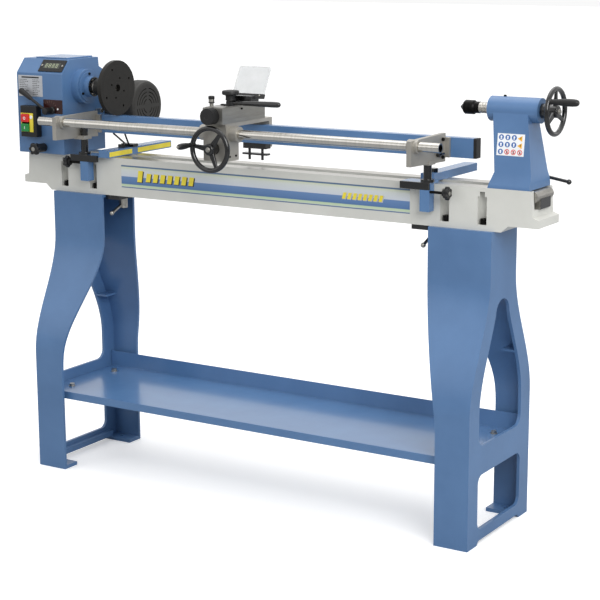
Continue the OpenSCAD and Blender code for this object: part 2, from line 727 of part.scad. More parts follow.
// A cast bracket around the guide tube, bolted to the beam, on top of its post.
module end_bracket(x, post_x) difference() {
    union() {
        side_plate(x - bracket_t, x) polygon([[bracket_y0, bracket_z0 + 6], [beam_y0 - 0.01, bracket_z0],
            [beam_y0 - 0.01, bracket_z1], [bracket_y0, bracket_z1 - 3]]);
        box(min(x - bracket_t, post_x - post_d / 2 - 3), max(x, post_x + post_d / 2 + 3), post_y - 16, post_y + 16,
            bracket_z0, bracket_z0 + 10);
        rod_x(x - bracket_t - 8, x + 8, tube_y, tube_z, tube_d + 10);
        box(x - bracket_t - 14, x + 14, beam_y0 - 8, beam_y0 - 0.01, beam_z0, beam_z1);
    }
    rod_x(x - 40, x + 40, tube_y, tube_z, tube_d);
    rod_z(post_x, post_y, bracket_z0 - 10, bracket_z0 + (post_x > x ? 12 : 7), post_x > x ? post_d : 10);
}

module end_brackets() {
    color(cast_grey) end_bracket(left_bracket_x, left_post_x);
    color(cast_grey) end_bracket(right_bracket_x, right_post_x);
}

module bracket_posts() color(black)
    for (x = [left_post_x, right_post_x]) {
        rod_z(x, post_y, way_z + plate_t, way_z + plate_t + 7, 34);
        rod_z(x, post_y, way_z + plate_t + 6, bracket_z0, post_d);
        if (x == left_post_x) rod_z(x, post_y, bracket_z0 - 1, bracket_z0 + 34, post_d);
        else rod_z(x, post_y, bracket_z0 - 1, bracket_z0 + 7, 10);
    }

module cross_bar(plate, bar_x, leg_at) difference() {
    union() {
        box(plate[0], plate[1], block_y0 + block_t, -34, way_z, way_z + plate_t);
        box(bar_x - bar_w / 2, bar_x + bar_w / 2, -36, bar_back, way_z, way_z + bar_h);
        box(leg_at - 13, leg_at + 13, block_y0 + block_t, front_y - 2, way_z - leg_drop, way_z + 1);
        box(leg_at - 13, leg_at + 13, block_y0, block_y0 + block_t + 1, way_z - leg_drop, way_z - block_drop);
    }
    rod_z(bar_x, 0, way_z - 1, way_z + bar_h + 1, 12);
}

module cross_bars() color(blue) {
    cross_bar(left_plate, left_bar_x, left_star_x);
    box(left_bar_x - bar_w / 2, left_bar_x + bar_w / 2, block_y0 + block_t, -30, way_z, way_z + bar_h);
    cross_bar(right_plate, right_bar_x, right_star_x);
}

module front_blocks() color(black) {
    box(left_plate[0], left_bar_x - bar_w / 2 - 1, block_y0, block_y0 + block_t, way_z - block_drop, way_z + plate_t);
    box(right_plate[0], right_plate[1], block_y0, block_y0 + block_t, way_z - block_drop, way_z + plate_t);
}

module stay_rods() {
    z0 = way_z + bar_h;
    color(blue) box(left_bar_x - bar_w / 2 - 3, left_bar_x + bar_w / 2 + 3, 24, 46, z0, z0 + 8);
    color(black) for (end = [[left_bar_x - 12, left_bar_x - 39], [left_bar_x - 2, left_bar_x + 1]])
        hull() {
            translate([end[0], 34, z0 + 5]) sphere(d = 5, $fn = 16);
            translate([end[1], beam_y0 + beam_w / 2, beam_z0 - 2.6]) sphere(d = 5, $fn = 16);
        }
}

module star_grip(x, turn) translate([x, block_y0 + 4, way_z - star_drop]) rotate([0, turn, 0])
    translate([0, 0, star_reach]) star_knob(32, 12, 7, star_reach - 13 - gap);

module left_star_knob() color(black) star_grip(left_star_x, -90);
module right_star_knob() color(black) star_grip(right_star_x, 90);

module clamp_plates() color(black)
    for (s = [-1, 1]) {
        x = s < 0 ? left_bar_x : right_bar_x;
        difference() {
            box(x - 8 * s - 22, x - 8 * s + 22, front_y + 2, -front_y - 2, leg_h - 12, leg_h);
            rod_z(x, 0, leg_h - 13, leg_h + 1, 12);
        }
        rod_z(x, 0, leg_h - 44, way_z + bar_h, 12);
        translate([x, 0, way_z + bar_h]) cylinder(d = 22, h = 9, $fn = 6);
    }

module clamp_lever(x) translate([x, 0, leg_h - 14]) difference() {
    union() {
        translate([0, 0, -28]) cylinder(d = 24, h = 27);
        translate([0, 0, -16]) rotate([112, 0, 0]) {
            translate([0, 0, 6]) cylinder(d = 8, h = 50);
            translate([0, 0, 56]) sphere(d = 13);
        }
    }
    translate([0, 0, -30]) cylinder(d = 12 + 2 * run, h = 31);
}
module left_clamp_lever() color(steel) clamp_lever(left_bar_x);
module right_clamp_lever() color(steel) clamp_lever(right_bar_x);

// ---- carriage ----

module carriage_saddle() {
    x0 = carriage_x - saddle_w / 2;
    x1 = carriage_x + saddle_w / 2;
    color(cast_grey) difference() {
        union() {
            box(x0, x1, saddle_y0, saddle_y1, saddle_z0, saddle_z1);
            rod_x(x0 - 22, x1 + 22, tube_y, tube_z, tube_d + 16);
            box(x0 + 4, x1 - 4, saddle_y0 + 4, beam_y0 + beam_w + 14, saddle_z1 - 1, slide_z0);
            box(x0 + 4, x1 - 4, beam_y0 + beam_w + gap, beam_y0 + beam_w + 14, saddle_z0 + 16, slide_z0);
        }
        rod_x(x0 - 30, x1 + 30, tube_y, tube_z, tube_d + 2 * run);
        rod_y(carriage_x, saddle_y0 - 1, saddle_y1 + 1, carriage_wheel_z, 14 + 2 * run);
        rod_y(carriage_x, tube_y - 16, tube_y + 16, carriage_wheel_z, 2 * roller_r + 2);
    }
}

module carriage_handwheel() color(black) {
    along_y(carriage_x, wheel_y, carriage_wheel_z) {
        spoked_wheel(carriage_wheel_d, 13, 30, -8, 20, 5, 20);
        translate([0, 0, 19]) cylinder(d = 14, h = saddle_y1 - wheel_y - 14);
        translate([0, 0, -8]) cylinder(d = 12, h = 24);
    }
    rod_y(carriage_x, tube_y - 14, tube_y + 14, carriage_wheel_z, 2 * roller_r);
    a = 170;
    along_y(carriage_x + (carriage_wheel_d / 2 - 6.5) * cos(a), wheel_y - 66,
        carriage_wheel_z + (carriage_wheel_d / 2 - 6.5) * sin(a)) cylinder(d = 7, h = 66);
}

module carriage_wheel_grip() {
    a = 170;
    r = carriage_wheel_d / 2 - 6.5;
    color(black) translate([carriage_x + r * cos(a), wheel_y - 7 - gap, carriage_wheel_z + r * sin(a)])
        rotate([90, 0, 0]) turned_grip(56, 16, 7 + 2 * run);
}

module beam_guide() {
    x0 = carriage_x - saddle_w / 2;
    x1 = carriage_x + saddle_w / 2;
    z1 = beam_z0 - gap;
    color(black) {
        box(x0, x1, beam_y0, beam_y0 + beam_w + gap, z1 - 14, z1);
        for (x = [x0 + 14, x1 - 16]) rod_z(x, beam_y0 + 10, z1 - 44, z1 - 10, 7);
        box(x0 - 4, x1 + 2, beam_y0 + 2, beam_y0 + 20, z1 - 31, z1 - 26);
    }
}

module top_slide() {
    x0 = carriage_x - slide_w / 2;
    x1 = carriage_x + slide_w / 2;
    color(cast_grey) difference() {
        union() {
            box(x0, x1, slide_y0, slide_y1, slide_z0, slide_z1);
            box(x0 + 4, x1 - 4, slide_y0 + 6, slide_y1 - 6, slide_z1 - 1, slide_z1 + 1.5);
            rod_z(x0 + 8, -158, slide_z1, slide_z1 + 14, 10);
            box(x0, x0 + 8, shield_y - 7, shield_y + 7, slide_z1 - 1, shield_z + 7);
        }
        rod_x(x0 - 1, x0 + 9, shield_y, shield_z, 8 + 2 * run);
        rod_y(carriage_x, slide_y0 - 1, slide_y0 + 60, feed_z, 12 + 2 * run);
    }
}

module feed_knob() color(black) {
    rod_y(carriage_x, slide_knob_y + 2, slide_y0 + 55, feed_z, 12);
    difference() {
        rod_y(carriage_x, slide_knob_y, slide_knob_y + 26, feed_z, feed_d);
        for (i = [0:23])
            along_y(carriage_x, slide_knob_y - 2, feed_z) rotate([0, 0, i * 15])
                translate([feed_d / 2 + 0.4, 0, 0]) cylinder(d = 3, h = 24, $fn = 4);
    }
    rod_y(carriage_x, slide_knob_y + 25, slide_y0 - gap, feed_z, 32);
}

module cutter_holder() {
    z0 = slide_z1 + 1.5;
    color(black) {
        box(carriage_x - 4, carriage_x + 60, lever_y + 22, lever_y + 44, z0 + 10, z0 + 24);
        box(carriage_x - 4, carriage_x + 20, lever_y + 22, lever_y + 44, z0, z0 + 11);
    }
    color(steel) box(carriage_x + 2, carriage_x + 14, lever_y + 43, slide_y1 - 4, z0, z0 + 9);
}

module slide_lever() {
    z = slide_z1 + 1.5 + gap;
    color(black) translate([carriage_x + 14, lever_y, z]) difference() {
        union() {
            cylinder(d = 24, h = 12);
            translate([-28, -6, 0]) cube([30, 12, 4]);
            translate([6, 0, 6]) rotate([0, 88, 0]) cylinder(d = 11, h = 40);
            translate([40, 0, 7.2]) rotate([0, 90, 0]) cylinder(d1 = 12, d2 = 15, h = 106);
        }
        translate([0, 0, -1]) cylinder(d = 10 + 2 * run, h = 14);
    }
}

module tee_knob() {
    z = slide_z1 + 14 + 2 * gap;
    color(black) translate([carriage_x + 14, lever_y, z]) {
        translate([0, 0, -z + slide_z1 + 1.5 + gap]) cylinder(d = 10, h = 14);
        cylinder(d = 26, h = 14);
        translate([0, 0, 13]) rotate_extrude()
            polygon([[0, 0], [13, 0], [22, 3], [22, 9], [19, 12], [0, 12]]);
    }
}

module shield() {
    color([0.85, 0.87, 0.87, 0.4]) translate([carriage_x - slide_w / 2, shield_y, shield_z]) {
        rotate([-27, 0, 0]) translate([10, -1.5, 2]) cube([96, 3, 86]);
        translate([-4, 0, 0]) rotate([0, 90, 0]) cylinder(d = 8, h = 60);
    }
}

// ---- tailstock ----

module tail_profile() polygon([[tail_x0, way_z], [tail_x1, way_z], [tail_x1, way_z + 22],
    [tail_x1 - 24, axis_z], [tail_x0 - 4, axis_z], [tail_x0 + 12, way_z + 38]]);

module tail_end_profile() polygon([[front_y, way_z], [-front_y, way_z], [-front_y, way_z + 10], [48, way_z + 38],
    [28, axis_z], [-28, axis_z], [-48, way_z + 38], [front_y, way_z + 10]]);

module tailstock_body() color(blue) difference() {
    union() {
        intersection() {
            front_plate(front_y, -front_y) tail_profile();
            side_plate(barrel_x0, barrel_x1 + 10) tail_end_profile();
        }
        rod_x(barrel_x0, barrel_x1, 0, axis_z, 2 * barrel_r);
        box(tail_x0 + 10, tail_x1 - 34, 1 - bed_gap / 2, bed_gap / 2 - 1, way_z - 8, way_z + 1);
    }
    rod_x(barrel_x0 - 1, barrel_x1 - 16, 0, axis_z, quill_d + 2 * run);
    rod_x(barrel_x1 - 20, barrel_x1 + 1, 0, axis_z, 14 + 2 * run);
    rod_y(clamp_shaft_x, -31, -front_y + 1, clamp_shaft_z, 16 + 2 * run);
    rod_z(clamp_shaft_x, 0, way_z - 10, clamp_shaft_z + 30, 22);
}

module quill() color(steel) difference() {
    rod_x(quill_tip, barrel_x1 - 26, 0, axis_z, quill_d);
    rod_x(quill_tip + 50, barrel_x1 - 25, 0, axis_z, 14.2);
    rod_x(quill_tip - 1, quill_tip + 50, 0, axis_z, 14 + 2 * run);
    for (x = [8, 16])
        difference() {
            rod_x(quill_tip + x, quill_tip + x + 2, 0, axis_z, quill_d + 2);
            rod_x(quill_tip + x - 1, quill_tip + x + 3, 0, axis_z, quill_d - 2);
        }
}

module live_centre() color(black) {
    rod_x(quill_tip - 2, quill_tip + 45, 0, axis_z, 14);
    along_x(quill_tip - centre_len, 0, axis_z) rotate_extrude()
        polygon([[0, 0], [2, 0], [11, 9], [15, 11], [17, 14], [17, 36], [14, 40], [14, centre_len - gap],
            [0, centre_len - gap]]);
}

module tail_handwheel() color(black) {
    along_x(tail_wheel_x, 0, axis_z) {
        spoked_wheel(tail_wheel_d, 12, 30, -16, 8, 5, 60);
        translate([0, 0, -18]) cylinder(d = 12, h = 24);
    }
    rod_x(barrel_x1 + gap, tail_wheel_x - 15, 0, axis_z, 36);
    rod_x(quill_tip + 80, barrel_x1 + 1, 0, axis_z, 14);
    rod_x(tail_wheel_x - 1, tail_wheel_x + 74, grip_y, grip_z, 7);
}

module tail_wheel_grip() color(black) along_x(tail_wheel_x + 7 + gap, grip_y, grip_z)
    turned_grip(68, 18, 7 + 2 * run);

module tail_clamp_lever() color(black) {
    rod_y(clamp_shaft_x, -30, -front_y + 16, clamp_shaft_z, 16);
    rod_y(clamp_shaft_x, -front_y + gap, -front_y + 16, clamp_shaft_z, 24);
    translate([clamp_shaft_x, -front_y + 8, clamp_shaft_z]) rotate([0, 99, 0]) {
        cylinder(d = 8, h = 92);
        translate([0, 0, 92]) sphere(d = 13);
    }
}

module tail_clamp_plate() color(cast_grey) {
    rod_z(clamp_shaft_x, 0, leg_h + 34, clamp_shaft_z - 8 - gap, 12);
    box(clamp_shaft_x - 24, clamp_shaft_x + 24, -bed_gap / 2 - 8, bed_gap / 2 + 8, way_z - way_t - 16,
        way_z - way_t - gap);
    translate([clamp_shaft_x, 0, way_z - way_t - 26]) cylinder(d = 20, h = 10, $fn = 6);
}

module safety_label() color("white") {
    tilt = atan2(20, axis_z - way_z - 38);
    translate([tail_x0 + 14, -48, way_z + 38]) rotate([-tilt, 0, 0]) translate([0, -0.6, 40])
        cube([70, 0.5, 52]);
}

left_leg();
right_leg();
shelf_tray();
bed_casting();
stand_bolts();
decals();
bed_end_stop();
headstock_housing();
headstock_lid();
belt_cover();
spindle_bearings();
bearing_cap();
spindle();
faceplate();
spindle_pulley();
drive_belt();
motor_shaft();
motor_pulley();
motor_fan();
motor_body();
motor_fan_cover();
speed_display();
speed_scale_plate();
speed_lever();
switch_box();
stop_button();
start_button();
headstock_clamp_knob();
index_pin();
guide_tube();
template_beam();
beam_end_caps();
end_brackets();
bracket_posts();
cross_bars();
front_blocks();
stay_rods();
left_star_knob();
right_star_knob();
clamp_plates();
left_clamp_lever();
right_clamp_lever();
carriage_saddle();
carriage_handwheel();
carriage_wheel_grip();
beam_guide();
top_slide();
feed_knob();
cutter_holder();
slide_lever();
tee_knob();
shield();
tailstock_body();
quill();
live_centre();
tail_handwheel();
tail_wheel_grip();
tail_clamp_lever();
tail_clamp_plate();
safety_label();
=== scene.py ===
"""The looks of a floor-standing wood lathe with a copying attachment.

Lengths in this script are millimetres in the frame's own axes; a finished mesh is scaled to metres once.
+X runs along the bed to the tailstock, the operator stands at -Y, +Z is up.
"""

import json
import math

import bmesh
import bpy
from mathutils import Matrix, Vector


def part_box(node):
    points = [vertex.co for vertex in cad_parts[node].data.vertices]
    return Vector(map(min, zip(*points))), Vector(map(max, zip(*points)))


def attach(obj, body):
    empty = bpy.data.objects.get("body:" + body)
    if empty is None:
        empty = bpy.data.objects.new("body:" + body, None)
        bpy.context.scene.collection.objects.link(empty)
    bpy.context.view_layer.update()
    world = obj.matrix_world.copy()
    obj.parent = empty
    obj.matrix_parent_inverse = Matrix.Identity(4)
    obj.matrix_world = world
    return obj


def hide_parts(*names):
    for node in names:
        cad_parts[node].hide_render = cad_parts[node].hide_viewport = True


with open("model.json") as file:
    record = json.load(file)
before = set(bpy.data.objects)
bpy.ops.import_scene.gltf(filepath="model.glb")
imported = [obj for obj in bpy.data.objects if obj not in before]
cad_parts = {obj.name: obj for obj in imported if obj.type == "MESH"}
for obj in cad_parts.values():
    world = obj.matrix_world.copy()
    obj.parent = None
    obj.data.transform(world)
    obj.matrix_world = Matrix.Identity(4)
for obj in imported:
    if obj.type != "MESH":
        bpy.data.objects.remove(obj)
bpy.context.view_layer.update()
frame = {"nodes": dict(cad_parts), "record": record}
MM = 0.001
NODE_BODY = {n: b for b, ns in frame["record"]["behaviour"]["bodies"].items() for n in ns}
TOWARD_OPERATOR = Matrix.Rotation(math.radians(90), 4, "X")
ALONG_BED = Matrix.Rotation(math.radians(90), 4, "Y")
BACK_ALONG_BED = Matrix.Rotation(math.radians(-90), 4, "Y")
UPRIGHT = Matrix.Identity(4)
SHARP_CORNER = 30


def span(node):
    """Lowest and highest corner of a CAD node, in millimetres."""
    low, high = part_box(node)
    return Vector(low) / MM, Vector(high) / MM


def middle(node):
    """Centre of a CAD node's box, in millimetres."""
    low, high = span(node)
    return (low + high) / 2


WAY_TOP = span("bed_casting")[1].z
BED_FRONT = -60.0
AXIS_Z = middle("faceplate").z
HEAD_LOW, HEAD_HIGH = span("headstock_housing")
SPEED_PIVOT = Vector((-666.0, HEAD_LOW.y, 993.0))
STAND = "stand"


# ---- colour and surface groups ----


def ink(*display):
    """Linear colour from display values of 0 to 255."""
    linear = [v / 255 / 12.92 if v <= 10 else ((v / 255 + 0.055) / 1.055) ** 2.4 for v in display]
    return (*linear, 1.0)


def surface_group(name):
    """An empty surface: its tree, the vector it is drawn on, the grain it is given, and its outputs."""
    tree = bpy.data.node_groups.new(name, "ShaderNodeTree")
    tree.interface.new_socket("Vector", in_out="INPUT", socket_type="NodeSocketVector")
    grain = tree.interface.new_socket("Grain", in_out="INPUT", socket_type="NodeSocketFloat")
    grain.default_value = 1.0
    for label in ("Tone", "Height"):
        tree.interface.new_socket(label, in_out="OUTPUT", socket_type="NodeSocketFloat")
    use = tree.nodes.new("NodeGroupInput")
    return tree, use.outputs["Vector"], use.outputs["Grain"], tree.nodes.new("NodeGroupOutput").inputs


def noise(tree, vector, scale, detail=2.0, roughness=0.5):
    node = tree.nodes.new("ShaderNodeTexNoise")
    node.inputs["Detail"].default_value = detail
    node.inputs["Roughness"].default_value = roughness
    node.inputs["Scale"].default_value = scale
    tree.links.new(vector, node.inputs["Vector"])
    return node.outputs["Fac"]


def maths(tree, operation, first, second=0.0):
    node = tree.nodes.new("ShaderNodeMath")
    node.operation = operation
    for socket, value in zip(node.inputs, (first, second)):
        if isinstance(value, (int, float)):
            socket.default_value = value
        else:
            tree.links.new(value, socket)
    return node.outputs[0]


def shared(tree, first, share, second, rest):
    """Two values added, each with its own share."""
    return maths(tree, "ADD", maths(tree, "MULTIPLY", first, share), maths(tree, "MULTIPLY", second, rest))


def cast_enamel_group():
    """Thick paint over a sand casting: slow mottling, and a lumpy skin under a fine peel."""
    tree, vector, grain, out = surface_group("cast_enamel")
    lumps = noise(tree, vector, 55.0, 4.0, 0.6)
    peel = noise(tree, vector, 420.0, 2.0)
    tree.links.new(noise(tree, vector, 7.0, 5.0, 0.55), out["Tone"])
    tree.links.new(shared(tree, lumps, grain, peel, 0.35), out["Height"])
    return tree


def machined_group():
    """Fine parallel scratches: noise on a vector that the material has stretched along the cut."""
    tree, vector, grain, out = surface_group("machined")
    fine = noise(tree, vector, 900.0, 3.0, 0.7)
    broad = noise(tree, vector, 120.0, 2.0)
    tree.links.new(shared(tree, fine, 0.6, broad, 0.4), out["Tone"])
    tree.links.new(maths(tree, "MULTIPLY", fine, grain), out["Height"])
    return tree


def turned_group():
    """Rings left by a lathe tool about the vector's Z axis, with faint drift in tone."""
    tree, vector, grain, out = surface_group("turned")
    split = tree.nodes.new("ShaderNodeSeparateXYZ")
    tree.links.new(vector, split.inputs[0])
    squares = [maths(tree, "MULTIPLY", split.outputs[i], split.outputs[i]) for i in (0, 1)]
    ring = tree.nodes.new("ShaderNodeCombineXYZ")
    tree.links.new(maths(tree, "SQRT", maths(tree, "ADD", *squares)), ring.inputs[0])
    tree.links.new(split.outputs[2], ring.inputs[1])
    rings = noise(tree, ring.outputs[0], 1100.0, 2.0, 0.6)
    wide = noise(tree, ring.outputs[0], 160.0, 2.0)
    drift = noise(tree, vector, 25.0, 3.0)
    tree.links.new(shared(tree, wide, 0.55, drift, 0.45), out["Tone"])
    tree.links.new(maths(tree, "MULTIPLY", rings, grain), out["Height"])
    return tree


def moulded_group():
    """Spark-eroded grain of a plastic moulding, with faint handling marks."""
    tree, vector, grain, out = surface_group("moulded")
    cells = tree.nodes.new("ShaderNodeTexVoronoi")
    cells.inputs["Scale"].default_value = 1300.0
    tree.links.new(vector, cells.inputs["Vector"])
    fine = noise(tree, vector, 700.0, 2.0)
    tree.links.new(noise(tree, vector, 30.0, 4.0, 0.6), out["Tone"])
    pits = maths(tree, "ADD", maths(tree, "MULTIPLY", cells.outputs["Distance"], 0.5), fine)
    tree.links.new(maths(tree, "MULTIPLY", pits, grain), out["Height"])
    return tree


SURFACES = {"cast": cast_enamel_group(), "machined": machined_group(), "turned": turned_group(),
    "moulded": moulded_group()}
FINISHES = {}


def drive(tree, value, output, low, high):
    """Feeds a shader value that runs from low to high as a value runs from 0 to 1."""
    sweep = tree.nodes.new("ShaderNodeMapRange")
    sweep.inputs["To Min"].default_value, sweep.inputs["To Max"].default_value = low, high
    tree.links.new(value, sweep.inputs["Value"])
    tree.links.new(sweep.outputs[0], output)


def mapped(tree, value, low, high):
    """A value taken to 0 at low and to 1 at high."""
    sweep = tree.nodes.new("ShaderNodeMapRange")
    sweep.inputs["From Min"].default_value, sweep.inputs["From Max"].default_value = low, high
    tree.links.new(value, sweep.inputs["Value"])
    return sweep.outputs[0]


def new_material(name):
    """A material listed under its name, with its node tree and its shader."""
    material = bpy.data.materials.new(name)
    material.use_nodes = True
    FINISHES[name] = material
    return material.node_tree, material.node_tree.nodes["Principled BSDF"]


def colour_mix(tree, factor, first, second, blend_type="MIX"):
    """Mixes two colours, each a linear colour or an output."""
    node = tree.nodes.new("ShaderNodeMix")
    node.data_type = "RGBA"
    node.blend_type = blend_type
    for index, value in ((0, factor), (6, first), (7, second)):
        if isinstance(value, bpy.types.NodeSocket):
            tree.links.new(value, node.inputs[index])
        else:
            node.inputs[index].default_value = value
    return node.outputs[2]


def finish(name, surface, dark, light, rough, metallic=0.0, bump=0.25, depth=0.0006, grain=1.0,
        centre=(0, 0, 0), turn=(0, 0, 0), stretch=(1, 1, 1), coat=0.0, alpha=1.0):
    """A material whose colour and roughness drift between two values with one of the surface groups."""
    tree, shader = new_material(name)
    place = tree.nodes.new("ShaderNodeMapping")
    place.vector_type = "TEXTURE"
    place.inputs["Location"].default_value = [c * MM for c in centre]
    place.inputs["Rotation"].default_value = [math.radians(a) for a in turn]
    place.inputs["Scale"].default_value = stretch
    tree.links.new(tree.nodes.new("ShaderNodeTexCoord").outputs["Object"], place.inputs["Vector"])
    texture = tree.nodes.new("ShaderNodeGroup")
    texture.node_tree = SURFACES[surface]
    texture.inputs["Grain"].default_value = grain
    tree.links.new(place.outputs[0], texture.inputs["Vector"])
    tone = texture.outputs["Tone"]
    blend = colour_mix(tree, mapped(tree, tone, 0.3, 0.7), ink(*dark), ink(*light))
    tree.links.new(blend, shader.inputs["Base Color"])
    drive(tree, tone, shader.inputs["Roughness"], *rough)
    relief = tree.nodes.new("ShaderNodeBump")
    relief.inputs["Strength"].default_value = bump
    relief.inputs["Distance"].default_value = depth
    tree.links.new(texture.outputs["Height"], relief.inputs["Height"])
    tree.links.new(relief.outputs[0], shader.inputs["Normal"])
    shader.inputs["Metallic"].default_value = metallic
    shader.inputs["Coat Weight"].default_value = coat
    shader.inputs["Coat Roughness"].default_value = 0.12
    shader.inputs["Alpha"].default_value = alpha


def film(name, dark, light, rough=(0.3, 0.42), **more):
    """Smooth plastic or print, with hardly any relief."""
    finish(name, "moulded", dark, light, rough, **{"bump": 0.05, "depth": 0.0002, **more})


ABOUT_SPINDLE = {"centre": (0, 0, AXIS_Z), "turn": (0, 90, 0)}
ABOUT_TUBE = {"centre": middle("guide_tube"), "turn": (0, 90, 0)}
CAP_GLOSS = {"rough": (0.22, 0.34), "bump": 0.08, "coat": 0.3}
finish("blue_casting", "cast", (75, 110, 153), (85, 121, 165), (0.36, 0.5), bump=0.35, coat=0.25)
# The sheet parts carry the castings' blue enamel. Their colour is set a little lighter than blue_casting as
# painted sheen for their gloss, on top of the real lower roughness and coat.
finish("blue_sheet_with_painted_sheen", "cast", (80, 116, 160), (88, 125, 169), (0.2, 0.3), bump=0.12, grain=0.3, coat=0.3)
finish("grey_casting", "cast", (198, 198, 192), (209, 209, 203), (0.38, 0.5), bump=0.3, coat=0.2)
finish("ground_way", "machined", (190, 187, 180), (214, 211, 204), (0.22, 0.36), 1.0, stretch=(60, 1, 1))
finish("bead_black", "moulded", (13, 13, 14), (21, 21, 22), (0.35, 0.55), bump=0.2, depth=0.0003)
finish("gloss_black", "cast", (9, 9, 10), (17, 17, 18), (0.16, 0.3), bump=0.1, grain=0.3, coat=0.5)
finish("black_oxide", "turned", (16, 16, 16), (32, 31, 30), (0.3, 0.46), 0.9, bump=0.1, **ABOUT_SPINDLE)
finish("turned_steel", "turned", (170, 167, 160), (206, 203, 197), (0.2, 0.34), 1.0, bump=0.12, **ABOUT_SPINDLE)
finish("bolt_steel", "machined", (150, 148, 142), (196, 193, 186), (0.28, 0.42), 1.0)
finish("tube_steel", "turned", (186, 183, 176), (208, 205, 199), (0.08, 0.15), 1.0, bump=0.03, **ABOUT_TUBE)
finish("cast_alloy", "cast", (152, 149, 142), (184, 180, 172), (0.38, 0.54), 0.6, bump=0.5, depth=0.0008)
finish("milled_alloy", "machined", (138, 136, 131), (168, 166, 160), (0.26, 0.42), 0.85, stretch=(1, 40, 1))
finish("turned_iron", "turned", (32, 31, 29), (45, 43, 40), (0.34, 0.5), 0.5, bump=0.3, **ABOUT_SPINDLE)
finish("motor_paint", "cast", (33, 32, 29), (43, 41, 38), (0.42, 0.58), bump=0.3)
film("red_cap", (196, 24, 22), (214, 38, 32), **CAP_GLOSS)
film("green_cap", (18, 122, 52), (28, 142, 66), **CAP_GLOSS)
film("yellow_film", (226, 205, 52), (238, 220, 74))
film("white_film", (228, 230, 232), (240, 241, 243))
film("blue_film", (34, 88, 158), (44, 100, 172))
film("orange_film", (232, 170, 48), (242, 186, 66))
film("red_film", (206, 60, 56), (220, 78, 72))
film("print_black", (26, 26, 28), (38, 38, 40), (0.34, 0.46))
film("scale_film", (40, 13, 13), (54, 19, 18), (0.22, 0.34))
film("scale_print", (96, 74, 64), (112, 86, 76), (0.3, 0.4))
finish("brushed_label", "machined", (186, 189, 194), (208, 210, 214), (0.3, 0.44), 0.6, stretch=(40, 1, 1))
film("display_glass", (30, 34, 30), (40, 46, 38), (0.08, 0.14), bump=0.02, depth=0.0001, coat=0.6)
film("lit_digit", (176, 186, 150), (196, 204, 170), (0.3, 0.4), bump=0.02, depth=0.0001)
finish("belt_rubber", "moulded", (20, 20, 20), (30, 30, 30), (0.6, 0.75), bump=0.4, depth=0.0004)
finish("deep_shadow", "moulded", (8, 8, 9), (14, 14, 15), (0.7, 0.85), bump=0.2, depth=0.0004)
film("clear_sheet", (196, 199, 200), (208, 211, 212), (0.05, 0.12), bump=0.02, depth=0.0001, coat=0.3,
    alpha=0.4)


# ---- mesh helpers ----


def put(bm, name, body, finishes, replaces=(), corner=32):
    """Turns a bmesh in millimetres into a finished piece that rides on a body."""
    bmesh.ops.scale(bm, vec=(MM, MM, MM), verts=bm.verts)
    for face in bm.faces:
        face.smooth = True
    for edge in bm.edges:
        edge.smooth = len(edge.link_faces) == 2 and edge.calc_face_angle(0) < math.radians(corner)
    mesh = bpy.data.meshes.new(name)
    bm.to_mesh(mesh)
    bm.free()
    for label in finishes:
        mesh.materials.append(FINISHES[label])
    piece = bpy.data.objects.new(name, mesh)
    bpy.context.collection.objects.link(piece)
    weight = piece.modifiers.new("even_shading", "WEIGHTED_NORMAL")
    weight.keep_sharp = True
    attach(piece, body)
    if replaces:
        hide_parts(*replaces)
    return piece


def round_edges(bm, edges, radius, segments=2):
    bmesh.ops.bevel(bm, geom=list(edges), offset=radius, offset_type="OFFSET", affect="EDGES",
        segments=segments, profile=0.5, material=-1, clamp_overlap=True)


def block(bm, x0, x1, y0, y1, z0, z1, radius=0.0, segments=2, place=UPRIGHT, skin=0):
    """A block with rounded edges."""
    part = bmesh.new()
    centre = Matrix.Translation(((x0 + x1) / 2, (y0 + y1) / 2, (z0 + z1) / 2))
    size = Matrix.Diagonal((x1 - x0, y1 - y0, z1 - z0, 1))
    bmesh.ops.create_cube(part, size=1, matrix=centre @ size)
    if radius:
        round_edges(part, part.edges, radius, segments)
    join(bm, part, place, skin)


def join(bm, part, place=UPRIGHT, skin=0):
    """Adds a part's mesh to bm at its place, with one material index."""
    bmesh.ops.recalc_face_normals(part, faces=part.faces)
    for face in part.faces:
        face.material_index = skin
    bmesh.ops.transform(part, matrix=place, verts=part.verts)
    carrier = bpy.data.meshes.new("carrier")
    part.to_mesh(carrier)
    part.free()
    bm.from_mesh(carrier)
    bpy.data.meshes.remove(carrier)


def turned(bm, outline, place, steps=64, skin=0):
    """Spins an outline of (radius, height) points about local Z."""
    part = bmesh.new()
    points = [part.verts.new((r, 0, z)) for r, z in outline]
    edges = [part.edges.new(pair) for pair in zip(points, points[1:])]
    bmesh.ops.spin(part, geom=points + edges, cent=(0, 0, 0), axis=(0, 0, 1), angle=math.tau, steps=steps,
        use_merge=True, use_duplicate=False)
    bmesh.ops.remove_doubles(part, verts=part.verts, dist=0.001)
    join(bm, part, place, skin)


def barrel(radius, low, high, edge=0.8, bore=0.0):
    """Outline of a cylinder with eased edges, solid or bored."""
    shy = edge * 0.3
    points = [(bore, low), (radius - edge, low), (radius - shy, low + shy), (radius, low + edge),
        (radius, high - edge), (radius - shy, high - shy), (radius - edge, high), (bore, high)]
    return points + [(bore, low)] if bore else points


def at(x, y, z, turn=UPRIGHT):
    """A place in millimetres, turned by a rotation."""
    return Matrix.Translation((x, y, z)) @ turn


def hexagon(bm, radius, low, high, place, skin=0, ease=0.6):
    """A six-sided prism about local Z with eased edges."""
    part = bmesh.new()
    bmesh.ops.create_cone(part, cap_ends=True, segments=6, radius1=radius, radius2=radius,
        depth=high - low, matrix=Matrix.Translation((0, 0, (low + high) / 2)))
    round_edges(part, part.edges, ease, 1)
    join(bm, part, place, skin)


